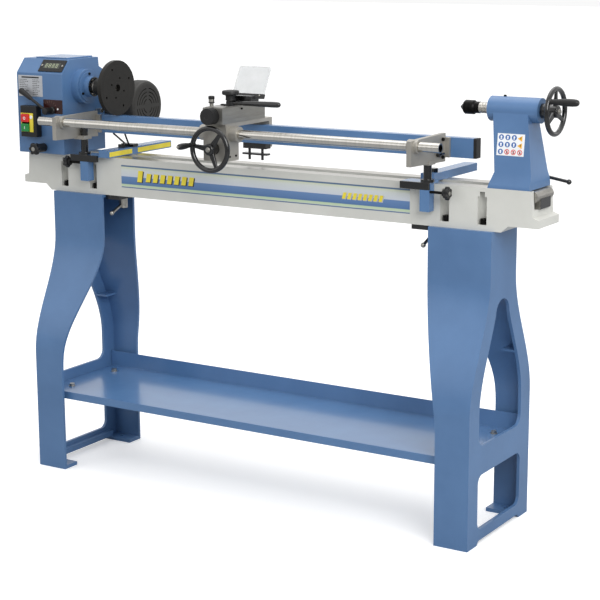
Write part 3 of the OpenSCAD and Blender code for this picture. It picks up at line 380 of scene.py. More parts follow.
def cap_screw(bm, radius, height, place, skin=0, dark=1):
    """A socket head screw, head up local Z, with its hexagon recess."""
    socket = radius * 0.5
    turned(bm, [(socket, height * 0.45), (socket, height - 0.2), (radius - 0.7, height),
        (radius, height - 0.7), (radius, 0), (0, 0)], place, 32, skin)
    hexagon(bm, socket * 1.04, height * 0.3, height * 0.46, place, dark, 0.05)


def refined(node, radius, finishes, segments=2, paint=None):
    """The CAD node's own shape with its long edges rounded; paint picks a material index for each face."""
    bm = bmesh.new()
    bm.from_mesh(frame["nodes"][node].data)
    bmesh.ops.scale(bm, vec=(1 / MM,) * 3, verts=bm.verts)
    bmesh.ops.remove_doubles(bm, verts=bm.verts, dist=0.005)
    bmesh.ops.dissolve_limit(bm, angle_limit=math.radians(0.6), verts=bm.verts, edges=bm.edges)
    if radius:
        sharp = [e for e in bm.edges if len(e.link_faces) == 2
            and e.calc_face_angle(0) > math.radians(SHARP_CORNER)
            and min(width_from(f, e) for f in e.link_faces) > 3 * radius]
        round_edges(bm, sharp, radius, segments)
    for face in bm.faces:
        face.material_index = paint(face) if paint else 0
    return put(bm, node + "_shape", NODE_BODY[node], finishes, (node,))


def width_from(face, edge):
    """How far a face reaches from one of its edges."""
    a, b = (v.co for v in edge.verts)
    along = (b - a).normalized()
    return max(((v.co - a) - along * (v.co - a).dot(along)).length for v in face.verts)


def dress(node, label):
    """Gives a CAD node that keeps its own mesh a better finish."""
    piece = frame["nodes"][node]
    piece.data.materials.clear()
    piece.data.materials.append(FINISHES[label])


def below(height):
    """Paints the faces under a height with the second finish."""
    return lambda face: int(face.calc_center_median().z < height)


def way_tops(face):
    """Paints the ground tops of the ways with the second finish."""
    return int(face.normal.z > 0.9 and face.calc_center_median().z > WAY_TOP - 0.5)


# ---- stand and bed ----

for leg in ("left_leg", "right_leg"):
    refined(leg, 2.5, ["blue_casting"], 3)
refined("shelf_tray", 0.5, ["blue_sheet_with_painted_sheen"])
refined("bed_casting", 2.0, ["grey_casting", "ground_way"], 3, paint=way_tops)
refined("stand_bolts", 0.5, ["black_oxide", "bolt_steel"], paint=below(WAY_TOP / 2))
refined("bed_end_stop", 1.0, ["bolt_steel", "gloss_black"], paint=below(WAY_TOP - 31))

# ---- headstock ----

refined("headstock_housing", 3.0, ["blue_casting"], 3)
refined("headstock_lid", 1.2, ["blue_sheet_with_painted_sheen"])
refined("bearing_cap", 1.0, ["blue_casting"])
refined("belt_cover", 1.5, ["blue_sheet_with_painted_sheen"])
refined("spindle_bearings", 0.6, ["black_oxide"])
refined("spindle", 0.6, ["turned_steel"])
refined("faceplate", 1.2, ["turned_iron"])
for node in ("spindle_pulley", "motor_pulley"):
    dress(node, "cast_alloy")
dress("drive_belt", "belt_rubber")
dress("motor_shaft", "turned_steel")
dress("motor_fan", "bead_black")
refined("motor_body", 0.8, ["motor_paint"])
refined("motor_fan_cover", 1.2, ["motor_paint"])
refined("index_pin", 0.6, ["turned_steel"])

# ---- copying attachment ----

dress("guide_tube", "tube_steel")
refined("template_beam", 1.5, ["blue_sheet_with_painted_sheen"])
refined("beam_end_caps", 1.5, ["bead_black"])
refined("end_brackets", 1.5, ["cast_alloy"], 3)
refined("bracket_posts", 0.6, ["gloss_black"])
refined("cross_bars", 1.2, ["blue_sheet_with_painted_sheen"])
refined("front_blocks", 1.0, ["gloss_black"])
refined("stay_rods", 0, ["gloss_black"])
refined("clamp_plates", 1.0, ["gloss_black"])
for node in ("left_clamp_lever", "right_clamp_lever"):
    refined(node, 0.6, ["bolt_steel"])
refined("carriage_saddle", 1.6, ["cast_alloy"], 3)
refined("beam_guide", 0.8, ["gloss_black"])
refined("top_slide", 1.2, ["milled_alloy"], 3)
refined("cutter_holder", 1.0, ["gloss_black"])

# ---- tailstock ----

refined("tailstock_body", 3.0, ["blue_casting"], 3)
refined("quill", 0.8, ["turned_steel"])
refined("live_centre", 0.8, ["black_oxide"])
refined("tail_clamp_lever", 0.8, ["gloss_black"])
refined("tail_clamp_plate", 1.0, ["turned_iron"])

# ---- wheels, grips and knobs ----


def ring_of(bm, radius, wire, place, skin=0, sides=20):
    """A round rim about local Z."""
    outline = [(radius + wire * math.cos(a), wire * math.sin(a)) for a in
        (math.tau * i / sides for i in range(sides + 1))]
    turned(bm, outline, place, 72, skin)


def spoke(bm, start, end, wide, thick, place):
    """A tapered arm along local X with rounded edges, from radius start to radius end."""
    part = bmesh.new()
    bmesh.ops.create_cube(part, size=1)
    for v in part.verts:
        if v.co.x > 0:
            v.co = Vector((end, v.co.y * wide * 0.72, v.co.z * thick * 0.8))
        else:
            v.co = Vector((start, v.co.y * wide * 1.25, v.co.z * thick * 1.3 - thick * 0.25))
    lengthwise = [e for e in part.edges if abs((e.verts[0].co - e.verts[1].co).x) > 1]
    bmesh.ops.subdivide_edges(part, edges=lengthwise, cuts=3)
    round_edges(part, [e for e in part.edges if e.calc_face_angle(0) > 0.5], min(wide, thick) * 0.36, 3)
    join(bm, part, place)


def grip_outline(length, width, bore):
    """A hand grip that swells towards its free end, as (radius, height) points."""
    half = width / 2
    stations = [(0.0, 0.70), (0.03, 0.76), (0.08, 0.76), (0.1, 0.70), (0.2, 0.78), (0.4, 0.93), (0.6, 1.0),
        (0.78, 0.99), (0.9, 0.9), (0.96, 0.74), (0.99, 0.5), (1.0, 0.3)]
    return [(bore / 2, 0)] + [(half * r, length * h) for h, r in stations] + [(0, length)]


def handwheel(name, node, centre, facing, diameter, wire, hub_low, hub_high, turn, shafts, grip_at):
    """A cast three-spoke wheel; local Z of facing points at the operator's hand."""
    bm = bmesh.new()
    place = at(*centre, facing)
    ring = diameter / 2 - wire / 2
    ring_of(bm, ring, wire / 2, place)
    for arm in range(3):
        turned_by = Matrix.Rotation(math.radians(turn + 120 * arm), 4, "Z")
        spoke(bm, 10, ring - 1, wire * 0.95, wire * 0.55, place @ turned_by)
    turned(bm, [(0, hub_low), (13, hub_low), (14.5, hub_low + 1.5), (15, hub_high - 4), (13.5, hub_high - 1),
        (12, hub_high), (0, hub_high)], place, 48)
    turned(bm, [(0, hub_high - 0.5), (6.4, hub_high - 0.5), (6.4, hub_high + 1.6), (5.6, hub_high + 2.4),
        (0, hub_high + 2.4)], place, 32, 1)
    hexagon(bm, 4.6, hub_high + 1.6, hub_high + 5.2, place, 1, 0.4)
    for radius, low, high, skin in shafts:
        turned(bm, barrel(radius, low, high), place, 40, skin)
    stub = place @ Matrix.Translation((*grip_at, 0))
    turned(bm, barrel(6.5, -wire * 0.5, wire * 0.62, 1.0), stub, 28)
    turned(bm, barrel(3.45, 0, 66), stub, 20, 1)
    return put(bm, name, NODE_BODY[node], ["gloss_black", "bolt_steel"], (node,))


def wheel_grip(name, node, start, facing, length, width):
    """The turning grip on a handwheel's rim, with the end of its pin."""
    bm = bmesh.new()
    place = at(*start, facing)
    turned(bm, grip_outline(length, width, 7.1), place, 40)
    turned(bm, [(0, length - 0.6), (2.6, length - 0.6), (2.6, length + 0.3), (0, length + 0.5)], place, 20, 1)
    return put(bm, name, NODE_BODY[node], ["bead_black", "bolt_steel"], (node,))


def star_head(bm, place, diameter, height, lobes=6):
    """A lobed clamping knob: a disc drawn into lobes, crowned and rounded."""
    part = bmesh.new()
    bmesh.ops.create_cone(part, cap_ends=True, segments=lobes * 10, radius1=diameter / 2,
        radius2=diameter / 2, depth=height)
    for v in part.verts:
        angle = math.atan2(v.co.y, v.co.x)
        reach = 0.9 + 0.1 * math.cos(lobes * angle)
        v.co.x *= reach
        v.co.y *= reach
    round_edges(part, [e for e in part.edges if e.calc_face_angle(0) > 1.0], height * 0.26, 3)
    join(bm, part, place @ Matrix.Translation((0, 0, height / 2)))


def clamping_star(node, centre, facing, reach, diameter, height):
    """A star knob on its stud, with a bright cap in the middle."""
    bm = bmesh.new()
    place = at(*centre, facing)
    head = place @ Matrix.Translation((0, 0, reach))
    star_head(bm, head, diameter, height)
    turned(bm, barrel(diameter * 0.25, -height * 0.5, 1, 0.8), head, 32)
    turned(bm, [(0, height - 0.5), (5.0, height - 0.5), (5.0, height + 0.3), (4.2, height + 0.9),
        (0, height + 1.1)], head, 28, 1)
    turned(bm, barrel(3.5, 13.4, reach, 0.5), place, 24, 2)
    return put(bm, node + "_grip", NODE_BODY[node], ["bead_black", "bolt_steel", "black_oxide"],
        (node,))


carriage = middle("carriage_saddle")
rim = 120.0
wheel_centre = Vector((carriage.x, -200.0, span("carriage_handwheel")[1].z - rim / 2))
grip_angle = math.radians(170)
grip_ring = rim / 2 - 6.5
# seen along the wheel's local Z, which points at the operator, the CAD's angle is measured from +X to -Z
carriage_grip_xy = (grip_ring * math.cos(grip_angle), grip_ring * math.sin(grip_angle))
handwheel("carriage_wheel_casting", "carriage_handwheel", wheel_centre, TOWARD_OPERATOR, rim, 13.0, -18.0,
    9.0, 172, [(6.9, -64.0, -17.0, 1), (15.0, -21.0, -16.0, 0), (23.2, -64.0, -36.0, 1)], carriage_grip_xy)
wheel_grip("carriage_grip", "carriage_wheel_grip", (wheel_centre.x + carriage_grip_xy[0], -207.3,
    wheel_centre.z + carriage_grip_xy[1]), TOWARD_OPERATOR, 56.0, 16.0)

tail_low, tail_high = span("tail_handwheel")
tail_grip_low, tail_grip_high = span("tail_wheel_grip")
tail_grip_mid = (tail_grip_low + tail_grip_high) / 2
tail_rim = (tail_high.z - AXIS_Z) * 2
tail_wheel_x = tail_grip_low.x - 7.3
# local X of the along-bed frame is -Z of the machine
tail_grip_xy = (AXIS_Z - tail_grip_mid.z, tail_grip_mid.y)
tail_shafts = [(17.9, -33.6, -15.0, 0), (15.0, -17.0, -13.0, 1),
    (6.9, tail_low.x - tail_wheel_x + 0.2, -33.0, 1)]
handwheel("tail_wheel_casting", "tail_handwheel", (tail_wheel_x, 0, AXIS_Z), ALONG_BED, tail_rim, 12.0, -14.0,
    8.0, 180, tail_shafts, tail_grip_xy)
wheel_grip("tail_grip", "tail_wheel_grip", (tail_grip_low.x, tail_grip_mid.y, tail_grip_mid.z), ALONG_BED,
    68.0, 18.0)

for node, facing in (("left_star_knob", BACK_ALONG_BED), ("right_star_knob", ALONG_BED)):
    low, high = span(node)
    pivot_x = high.x + 13.3 if node == "left_star_knob" else low.x - 13.3
    clamping_star(node, (pivot_x, (low.y + high.y) / 2, (low.z + high.z) / 2), facing, 54.0, 33.0, 12.0)


def headstock_lock():
    """The star grip low on the headstock's front, on its round boss."""
    low, high = span("headstock_clamp_knob")
    bm = bmesh.new()
    place = at((low.x + high.x) / 2, HEAD_LOW.y, (low.z + high.z) / 2, TOWARD_OPERATOR)
    star_head(bm, place @ Matrix.Translation((0, 0, 34)), 35.0, 14.0)
    turned(bm, barrel(12.0, 1.0, 35.0, 1.5), place, 40)
    turned(bm, barrel(5.0, -8.0, 12.0), place, 24, 1)
    turned(bm, [(0, 47.6), (6, 47.6), (6, 48.4), (0, 48.8)], place, 28, 1)
    put(bm, "headstock_lock_grip", "headstock_clamp_knob", ["bead_black", "bolt_steel"],
        ("headstock_clamp_knob",))


def cross_slide_knob():
    """The knurled feed knob with its bright collar."""
    low, high = span("feed_knob")
    bm = bmesh.new()
    place = at((low.x + high.x) / 2, low.y, (low.z + high.z) / 2, TOWARD_OPERATOR)
    radius = 20.8
    part = bmesh.new()
    bmesh.ops.create_cone(part, cap_ends=True, segments=144, radius1=radius, radius2=radius, depth=26)
    for index, v in enumerate(sorted(part.verts, key=lambda v: (round(v.co.z), math.atan2(v.co.y, v.co.x)))):
        if index % 3 == 0:
            v.co.x *= 0.955
            v.co.y *= 0.955
    join(bm, part, place @ Matrix.Translation((0, 0, -13)))
    turned(bm, [(0, -0.3), (17.4, -0.3), (18.2, 0.0), (18.2, 0.2), (16.6, 0.45), (8, 0.45), (7, -0.2),
        (0, -0.2)], place, 48)
    turned(bm, barrel(16.0, -51.6, -25.5, 1.0), place, 56, 1)
    for gap in (-34.0, -42.0):
        ring_of(bm, 16.0, 0.5, place @ Matrix.Translation((0, 0, gap)), 1)
    turned(bm, barrel(6.0, -106.8, -51.0), place, 32, 1)
    put(bm, "feed_knob_knurl", "feed_knob", ["bead_black", "bolt_steel"], ("feed_knob",))


def slide_clamps():
    """The long clamping lever under the round tee knob."""
    hub = Vector((carriage.x + 14.0, -125.0, span("slide_lever")[0].z))
    bm = bmesh.new()
    place = at(*hub)
    turned(bm, [(5.05, 0), (11.4, 0), (12, 0.6), (12, 11.2), (11, 12), (5.05, 12), (5.05, 0)], place, 48)
    block(bm, -28, -2, -6, 6, 0, 4, 1.4, 3, place)
    turned(bm, [(0, 0), (5.4, 0), (4.6, 14), (5.4, 34), (6.1, 38), (6.6, 70), (7.4, 120), (7.3, 136),
        (6.0, 142), (3, 144.6), (0, 145)], place @ at(4, 0, 7.2, Matrix.Rotation(math.radians(89.4), 4, "Y")), 40)
    put(bm, "slide_lever_handle", "slide_lever", ["gloss_black"], ("slide_lever",))
    bm = bmesh.new()
    place = at(hub.x, hub.y, 0)
    foot = span("tee_knob")[0].z
    turned(bm, barrel(5.0, foot, foot + 16), place, 28, 1)
    outline = [(0, 0), (12, 0), (13, 1), (12.4, 10), (14, 13), (20, 14.6), (22, 17), (22, 22), (20.6, 24.6),
        (16, 25.8), (9, 26.0), (8.4, 25.2), (0, 25.2)]
    turned(bm, [(r, foot + 12.9 + z) for r, z in outline], place, 64)
    put(bm, "tee_knob_head", "tee_knob", ["bead_black", "bolt_steel"], ("tee_knob",))


def speed_handle():
    """The variator's lever: a boss and a round arm that ends in a tapered grip."""
    bm = bmesh.new()
    place = at(*SPEED_PIVOT, TOWARD_OPERATOR)
    turned(bm, barrel(6.0, -26.0, 3.0), place, 28, 1)
    turned(bm, barrel(17.0, -20.0, -12.0), place, 36, 1)
    turned(bm, [(0, 2.2), (9.4, 2.2), (10, 4), (9.5, 20), (8.6, 24), (5, 24.6), (0, 24.6)], place, 40)
    arm = at(*SPEED_PIVOT) @ at(0, -15.0, 0, Matrix.Rotation(math.radians(-59), 4, "Y"))
    turned(bm, [(0, 0), (4.6, 0), (4.0, 12), (3.9, 60), (5.6, 64), (6.4, 68), (7.0, 84), (8.6, 102), (8.5, 104),
        (6.6, 107), (3, 108.2), (0, 108.4)], arm, 36)
    put(bm, "speed_lever_handle", "speed_lever", ["bead_black", "bolt_steel"],
        ("speed_lever",))


headstock_lock()
cross_slide_knob()
slide_clamps()
speed_handle()

# ---- plates, labels and switches ----


def bars(bm, x0, x1, z0, z1, y, thick, count, lean, fill, skin):
    """Slanted bars in a row on a front face."""
    pitch = (x1 - x0) / count
    for i in range(count):
        part = bmesh.new()
        bmesh.ops.create_cube(part, size=1)
        for v in part.verts:
            v.co = Vector((x0 + pitch * (i + 0.5) + v.co.x * pitch * fill + v.co.z * lean, y + v.co.y * thick,
                (z0 + z1) / 2 + v.co.z * (z1 - z0)))
        join(bm, part, UPRIGHT, skin)


def banded_print(name, bands, low, high):
    """A printed film whose colour follows height; bands is a list of (share of height, colour)."""
    tree, shader = new_material(name)
    split = tree.nodes.new("ShaderNodeSeparateXYZ")
    where = tree.nodes.new("ShaderNodeTexCoord").outputs["Object"]
    tree.links.new(where, split.inputs[0])
    ramp = tree.nodes.new("ShaderNodeValToRGB")
    stops = ramp.color_ramp.elements
    while len(stops) < len(bands):
        stops.new(0.5)
    for stop, (position, colour) in zip(stops, bands):
        stop.position = position
        stop.color = ink(*colour)
    tree.links.new(mapped(tree, split.outputs[2], low * MM, high * MM), ramp.inputs[0])
    speck = noise(tree, where, 900.0, 2.0)
    tree.links.new(colour_mix(tree, 0.12, ramp.outputs[0], speck, "MULTIPLY"), shader.inputs["Base Color"])
    drive(tree, speck, shader.inputs["Roughness"], 0.26, 0.38)


PRINT_LOW, PRINT_HIGH = WAY_TOP - 79.0, WAY_TOP - 18.0
BED_BANDS = ((0.0, (96, 120, 156)), (0.04, (96, 120, 156)), (0.045, (196, 206, 196)), (0.08, (196, 212, 184)),
    (0.16, (186, 208, 172)), (0.165, (84, 118, 166)), (0.5, (104, 138, 184)), (0.505, (204, 210, 220)),
    (0.8, (212, 218, 216)), (0.93, (208, 214, 186)), (0.935, (92, 118, 148)), (1.0, (92, 118, 148)))
banded_print("bed_print", BED_BANDS, PRINT_LOW, PRINT_HIGH)


def bed_front_print():
    """The striped film along the bed's front, with plain slanted bars where a maker would put a name."""
    bm = bmesh.new()
    block(bm, -442, 445, BED_FRONT - 0.4, BED_FRONT, PRINT_LOW, PRINT_HIGH)
    dark, silver = 2, 3
    for x0, x1, z0, z1, count, shade in ((-391, -366, 813, 844, 1, dark), (-362, -198, 815, 838, 7, dark),
            (252, 372, 818, 834, 8, silver)):
        bars(bm, x0 + 2, x1 + 2, z0 - 1.5, z1 - 1.5, BED_FRONT - 0.5, 0.12, count, 5, 0.74, shade)
        bars(bm, x0, x1, z0, z1, BED_FRONT - 0.62, 0.12, count, 5, 0.62, 1)
    put(bm, "bed_front_print", STAND, ["bed_print", "yellow_film", "print_black", "brushed_label"],
        ("decals",))


def rating_plate():
    """The plate on the headstock's front: a heading bar, rows of short bars and four rivets."""
    bm = bmesh.new()
    x0, x1, z0, z1 = HEAD_LOW.x + 1, HEAD_LOW.x + 87, WAY_TOP + 156, WAY_TOP + 214
    y = HEAD_LOW.y
    block(bm, x0, x1, y - 0.5, y, z0, z1)
    bars(bm, x0 + 12, x1 - 12, z1 - 7.5, z1 - 3.5, y - 0.55, 0.14, 1, 0, 1.0, 1)
    for row in range(9):
        z = z1 - 12 - row * 5.0
        share = 0.5 + 0.12 * math.sin(row * 2.3)
        bars(bm, x0 + 4, x0 + 4 + 36 * share * 1.5, z - 0.8, z + 0.8, y - 0.55, 0.14, 5, 0, 0.7, 1)
        bars(bm, x0 + 50, x0 + 50 + 32 * share * 1.4, z - 0.8, z + 0.8, y - 0.55, 0.14, 4, 0, 0.72, 1)
    for x in (x0 + 3, x1 - 3):
        for z in (z0 + 3, z1 - 3):
            turned(bm, [(0, 0.4), (1.5, 0.4), (1.2, 1.1), (0, 1.4)], at(x, y, z, TOWARD_OPERATOR), 16, 0)
    put(bm, "rating_plate", STAND, ["brushed_label", "print_black"])


def warning_strips():
    """Yellow strips on the side of the left cross bar."""
    bm = bmesh.new()
    x = middle("left_clamp_lever").x + 18.0
    for y0, y1 in ((-78.0, 22.0), (48.0, span("cross_bars")[1].y - 4)):
        block(bm, x, x + 0.5, y0, y1, WAY_TOP + 3, WAY_TOP + 16)
    put(bm, "warning_strips", STAND, ["yellow_film"])


def display():
    """The speed display on the headstock's slope: a bezel, a window, four lit digits and two screws."""
    bm = bmesh.new()
    slope = math.atan2(38, 34)
    place = at(0, HEAD_LOW.y + 17, HEAD_HIGH.z - 19, Matrix.Rotation(slope, 4, "X"))
    left = HEAD_LOW.x + 70
    block(bm, left, left + 84, -20, 20, 0, 3, 1.0, 3, place)
    block(bm, left + 13, left + 70, -11, 9, 2.6, 3.5, 0.3, 1, place, 1)
    strokes = ((0, 7, 4.6, 5.8), (0, 7, -1.1, 0.1), (0, 7, -6.8, -5.6), (0, 1.2, -6, 5), (5.8, 7, -6, 5))
    for i in range(4):
        x = left + 19 + 12 * i
        for x0, x1, y0, y1 in strokes:
            block(bm, x + x0, x + x1, y0, y1, 3.45, 3.6, 0, 1, place, 2)
    for x in (left + 6.5, left + 77.5):
        turned(bm, [(0, 2.9), (3.2, 2.9), (3.0, 3.9), (1.8, 4.5), (0, 4.6)], place @ at(x, 0, 0), 24, 3)
    put(bm, "speed_display_panel", STAND, ["bead_black", "display_glass", "lit_digit", "bolt_steel"],
        ("speed_display",))


def speed_scale():
    """The dark red speed plate behind the lever, with a fan of ticks and a dot."""
    bm = bmesh.new()
    low, high = span("speed_scale_plate")
    block(bm, low.x, high.x, low.y, high.y, low.z, high.z, 0.4, 1)
    reach = 26
    for i in range(9):
        angle = math.radians(20 + i * 17.5)
        x, z = SPEED_PIVOT.x + reach * math.cos(angle), SPEED_PIVOT.z + reach * math.sin(angle)
        if x > low.x + 4:
            tick = at(x, low.y, z, TOWARD_OPERATOR) @ Matrix.Rotation(angle, 4, "Z")
            block(bm, -3.0, 3.0, -0.5, 0.5, 0, 0.25, 0, 1, tick, 3)
    dot = at(high.x - 16, low.y, low.z + 13, TOWARD_OPERATOR)
    turned(bm, [(0, 0.2), (2.6, 0.2), (2.4, 1.4), (0, 1.8)], dot, 24, 1)
    plug = at(high.x - 34, low.y, low.z + 9, TOWARD_OPERATOR)
    turned(bm, [(0, 0), (10, 0), (10, 5), (8.6, 7), (0, 7)], plug, 36, 2)
    put(bm, "speed_scale_face", STAND, ["scale_film", "white_film", "bead_black", "scale_print"],
        ("speed_scale_plate",))


def push_switch():
    """Switch box with a yellow face, a white lamp, and the two caps."""
    low, high = span("switch_box")
    bm = bmesh.new()
    stop, start = middle("stop_button"), middle("start_button")
    stop_low, stop_high = span("stop_button")
    front = low.y + 1.5
    frame_x0, frame_x1 = stop_low.x - 0.7, stop_high.x + 0.7
    z_low, z_high = start.z - 11.8, stop.z + 11.8
    block(bm, low.x, frame_x0, front, high.y, low.z, high.z, 2.0, 3)
    block(bm, frame_x1, high.x, front, high.y, low.z, high.z, 2.0, 3)
    block(bm, frame_x0 - 3, frame_x1 + 3, front, high.y, low.z, z_low, 2.0, 3)
    block(bm, frame_x0 - 3, frame_x1 + 3, front, high.y, z_high, high.z, 2.0, 3)
    block(bm, frame_x0 - 2, frame_x1 + 2, front + 12, high.y - 0.5, z_low - 1, z_high + 1)
    left, right, bottom, top = low.x + 3, high.x - 11, low.z + 14, high.z - 20
    for x0, x1, z0, z1 in ((left, frame_x0, bottom, top), (frame_x1, right, bottom, top),
            (frame_x0, frame_x1, bottom, z_low), (frame_x0, frame_x1, z_high, top)):
        if x1 - x0 > 0.2 and z1 - z0 > 0.2:
            block(bm, x0, x1, low.y, front + 0.5, z0, z1, 0, 1, UPRIGHT, 1)
    lamp = at(frame_x1 + 6, low.y + 0.4, stop.z + 3, TOWARD_OPERATOR)
    turned(bm, [(0, 0), (5, 0), (5, 1.0), (4.4, 1.6), (0, 1.6)], lamp, 28, 2)
    put(bm, "switch_frame", STAND, ["bead_black", "yellow_film", "white_film"],
        ("switch_box",))
    for node, label, slot_name in (("stop_button", "red_cap", "red_plastic"),
            ("start_button", "green_cap", "green_plastic")):
        cap_low, cap_high = span(node)
        bm = bmesh.new()
        block(bm, cap_low.x, cap_high.x, cap_low.y, cap_high.y, cap_low.z, cap_high.z, 2.2, 4)
        spot = at((cap_low.x + cap_high.x) / 2, cap_low.y, (cap_low.z + cap_high.z) / 2, TOWARD_OPERATOR)
        if node == "stop_button":
            turned(bm, [(2.4, 0), (4.0, 0), (4.0, 0.25), (2.4, 0.25), (2.4, 0)], spot, 36, 1)
        else:
            block(bm, -0.8, 0.8, -4, 4, 0, 0.25, 0, 1, spot, 1)
        put(bm, node + "_cap", node, [label, "white_film"], (node,))


def safety_signs():
    """A white sheet of plain signs: blue discs, orange triangles and red rings."""
    bm = bmesh.new()
    foot = WAY_TOP + 38
    tilt = Matrix.Rotation(-math.atan2(20, AXIS_Z - foot), 4, "X")
    place = at(span("safety_label")[0].x, -48.0, foot, tilt) @ at(0, -0.6, 40)
    block(bm, 0, 70, 0, 0.5, 0, 52, 0, 1, place)
    slash = Matrix.Rotation(math.radians(-45), 4, "Z")
    for column in range(4):
        for row in range(3):
            spot = place @ at(10 + column * 16.6, -0.02, 43 - row * 17, TOWARD_OPERATOR)
            if column == 3 and row < 2:
                part = bmesh.new()
                bmesh.ops.create_cone(part, cap_ends=True, segments=3, radius1=8, radius2=8, depth=0.25,
                    matrix=Matrix.Rotation(math.radians(90), 4, "Z"))
                join(bm, part, spot @ at(0, -1.5, 0), 2)
                block(bm, -0.9, 0.9, -2.6, 2.4, 0.1, 0.3, 0, 1, spot, 4)
            elif row == 2 and column > 0:
                turned(bm, [(4.6, 0), (6.4, 0), (6.4, 0.25), (4.6, 0.25), (4.6, 0)], spot, 36, 3)
                block(bm, -5.2, 5.2, -0.7, 0.7, 0.02, 0.22, 0, 1, spot @ slash, 3)
                turned(bm, [(0, 0), (1.6, 0), (1.6, 0.2), (0, 0.2)], spot @ at(0, 1.6, 0), 20, 4)
                block(bm, -1.5, 1.5, -3.6, 0.2, 0, 0.2, 0, 1, spot, 4)
            else:
                turned(bm, [(0, 0), (6.4, 0), (6.4, 0.22), (0, 0.22)], spot, 36, 1)
                turned(bm, [(0, 0.2), (2.5, 0.2), (2.5, 0.36), (0, 0.36)], spot @ at(0, 1.3, 0), 24, 0)
                left, right, top = -2.2 + 0.3 * row, 2.2 - 0.3 * column, -1.4 + 0.3 * row
                block(bm, left, right, -4.2, top, 0.2, 0.36, 0, 1, spot, 0)
    put(bm, "safety_signs", "tailstock", ["white_film", "blue_film", "orange_film", "red_film", "print_black"],
        ("safety_label",))


def clear_shield():
    """A clear sheet with rounded corners in a black hinge rail."""
    bm = bmesh.new()
    hinge = Vector((carriage.x - 30.0, -70.0, span("shield")[0].z + 4.0))
    place = at(*hinge, Matrix.Rotation(math.radians(-27), 4, "X"))
    part = bmesh.new()
    bmesh.ops.create_cube(part, size=1, matrix=at(58, 0, 45) @ Matrix.Diagonal((96, 3, 86, 1)))
    corners = [e for e in part.edges if abs((e.verts[0].co - e.verts[1].co).y) > 1 and e.verts[0].co.z > 45]
    round_edges(part, corners, 6, 5)
    join(bm, part, place)
    block(bm, 8, 108, -3.0, 3.0, 1, 13, 1.0, 2, place, 1)
    for x in (22, 94):
        cap_screw(bm, 2.6, 2.4, place @ at(x, -3.0, 8, TOWARD_OPERATOR), 2, 1)
    turned(bm, barrel(4.0, -4.0, 56.0), at(*hinge, ALONG_BED), 32, 2)
    put(bm, "shield_sheet", "shield", ["clear_sheet", "gloss_black", "bolt_steel"],
        ("shield",))


bed_front_print()
rating_plate()
warning_strips()
display()
speed_scale()
push_switch()
safety_signs()
clear_shield()

# ---- screws and small fittings ----


BLACK_SCREW = ("black_oxide", "deep_shadow")
BRIGHT_SCREW = ("bolt_steel", "deep_shadow")


def screws(name, body, spots, finishes=BLACK_SCREW):
    """Socket head screws; each spot is (x, y, z, facing, head radius)."""
    bm = bmesh.new()
    for x, y, z, facing, radius in spots:
        cap_screw(bm, radius, radius * 1.1, at(x, y, z, facing))
    put(bm, name, body, finishes)


def small_screws():
    """The screws of the brackets, covers and slides."""
    low, high = span("end_brackets")
    rows = (low.z + 13.0, high.z - 14.0)
    screws("bracket_face_screws", STAND, [(high.x - 14.0, -16.0, z, ALONG_BED, 4.5) for z in rows])
    x = span("belt_cover")[0].x
    places = ((-70, 890), (-70, 1080), (84, 890), (30, 1122), (200, 1030), (150, 950))
    screws("cover_screws", STAND, [(x, y, z, BACK_ALONG_BED, 3.6) for y, z in places], BRIGHT_SCREW)
    motor = middle("motor_body")
    top = span("motor_body")[1].z
    box = [(motor.x + dx, motor.y + dy, top, UPRIGHT, 2.4) for dx in (-38, 24) for dy in (-20, 20)]
    screws("motor_box_screws", STAND, box, BRIGHT_SCREW)
    low, high = span("top_slide")
    screws("slide_gib_screws", "top_slide", [(high.x, -100.0, low.z + 34, ALONG_BED, 2.6)])
    low, high = span("carriage_saddle")
    side = [(high.x - 22.0, low.y + y, low.z + 12, ALONG_BED, 2.8) for y in (14, 42)]
    screws("saddle_side_screws", "carriage", side)
    key = (span("tailstock_body")[0].x + 34, 0, AXIS_Z + 29.6, UPRIGHT, 3.6)
    screws("barrel_key_screw", "tailstock", [key])


def bracket_lock_tab():
    """The short clamping tab on the right bracket's outer face."""
    bm = bmesh.new()
    low, high = span("end_brackets")
    place = at(high.x - 14.0, -42.0, low.z + 22.0, ALONG_BED)
    turned(bm, barrel(6.5, 0, 9, 1.0), place, 32)
    block(bm, -3, 3, -4, 24, 4, 9, 1.6, 3, place)
    put(bm, "bracket_lock_tab", STAND, ["gloss_black"])


def slide_stop():
    """The capped stop screw on the top slide, over its bright collar."""
    bm = bmesh.new()
    low, high = span("top_slide")
    place = at(low.x + 8, -158.0, high.z - 4.0)
    turned(bm, [(0, 0), (7.5, 0), (8.0, 0.8), (8.0, 6.5), (6.8, 8.2), (0, 8.6)], place, 36)
    turned(bm, barrel(7.2, -7, 0.2, 0.5), place, 32, 1)
    turned(bm, barrel(7.8, -10, -6.8, 0.5), place, 32)
    put(bm, "slide_stop_cap", "top_slide", ["bead_black", "bolt_steel"])


def spindle_nose_fittings():
    """The three screws and the seal of the spindle's front bearing cap."""
    end = span("bearing_cap")[1].x
    angles = [math.radians(90 + 120 * i) for i in range(3)]
    spots = [(end - 18.0, 35.0 * math.cos(a), AXIS_Z + 35.0 * math.sin(a), ALONG_BED, 3.4) for a in angles]
    screws("bearing_cap_screws", STAND, spots)
    bm = bmesh.new()
    turned(bm, barrel(26.4, -6, 1.2, 1.0, 23.6), at(end, 0, AXIS_Z, ALONG_BED), 56)
    put(bm, "bearing_seal", STAND, ["gloss_black"])


small_screws()
bracket_lock_tab()
slide_stop()
spindle_nose_fittings()

# ---- room ----


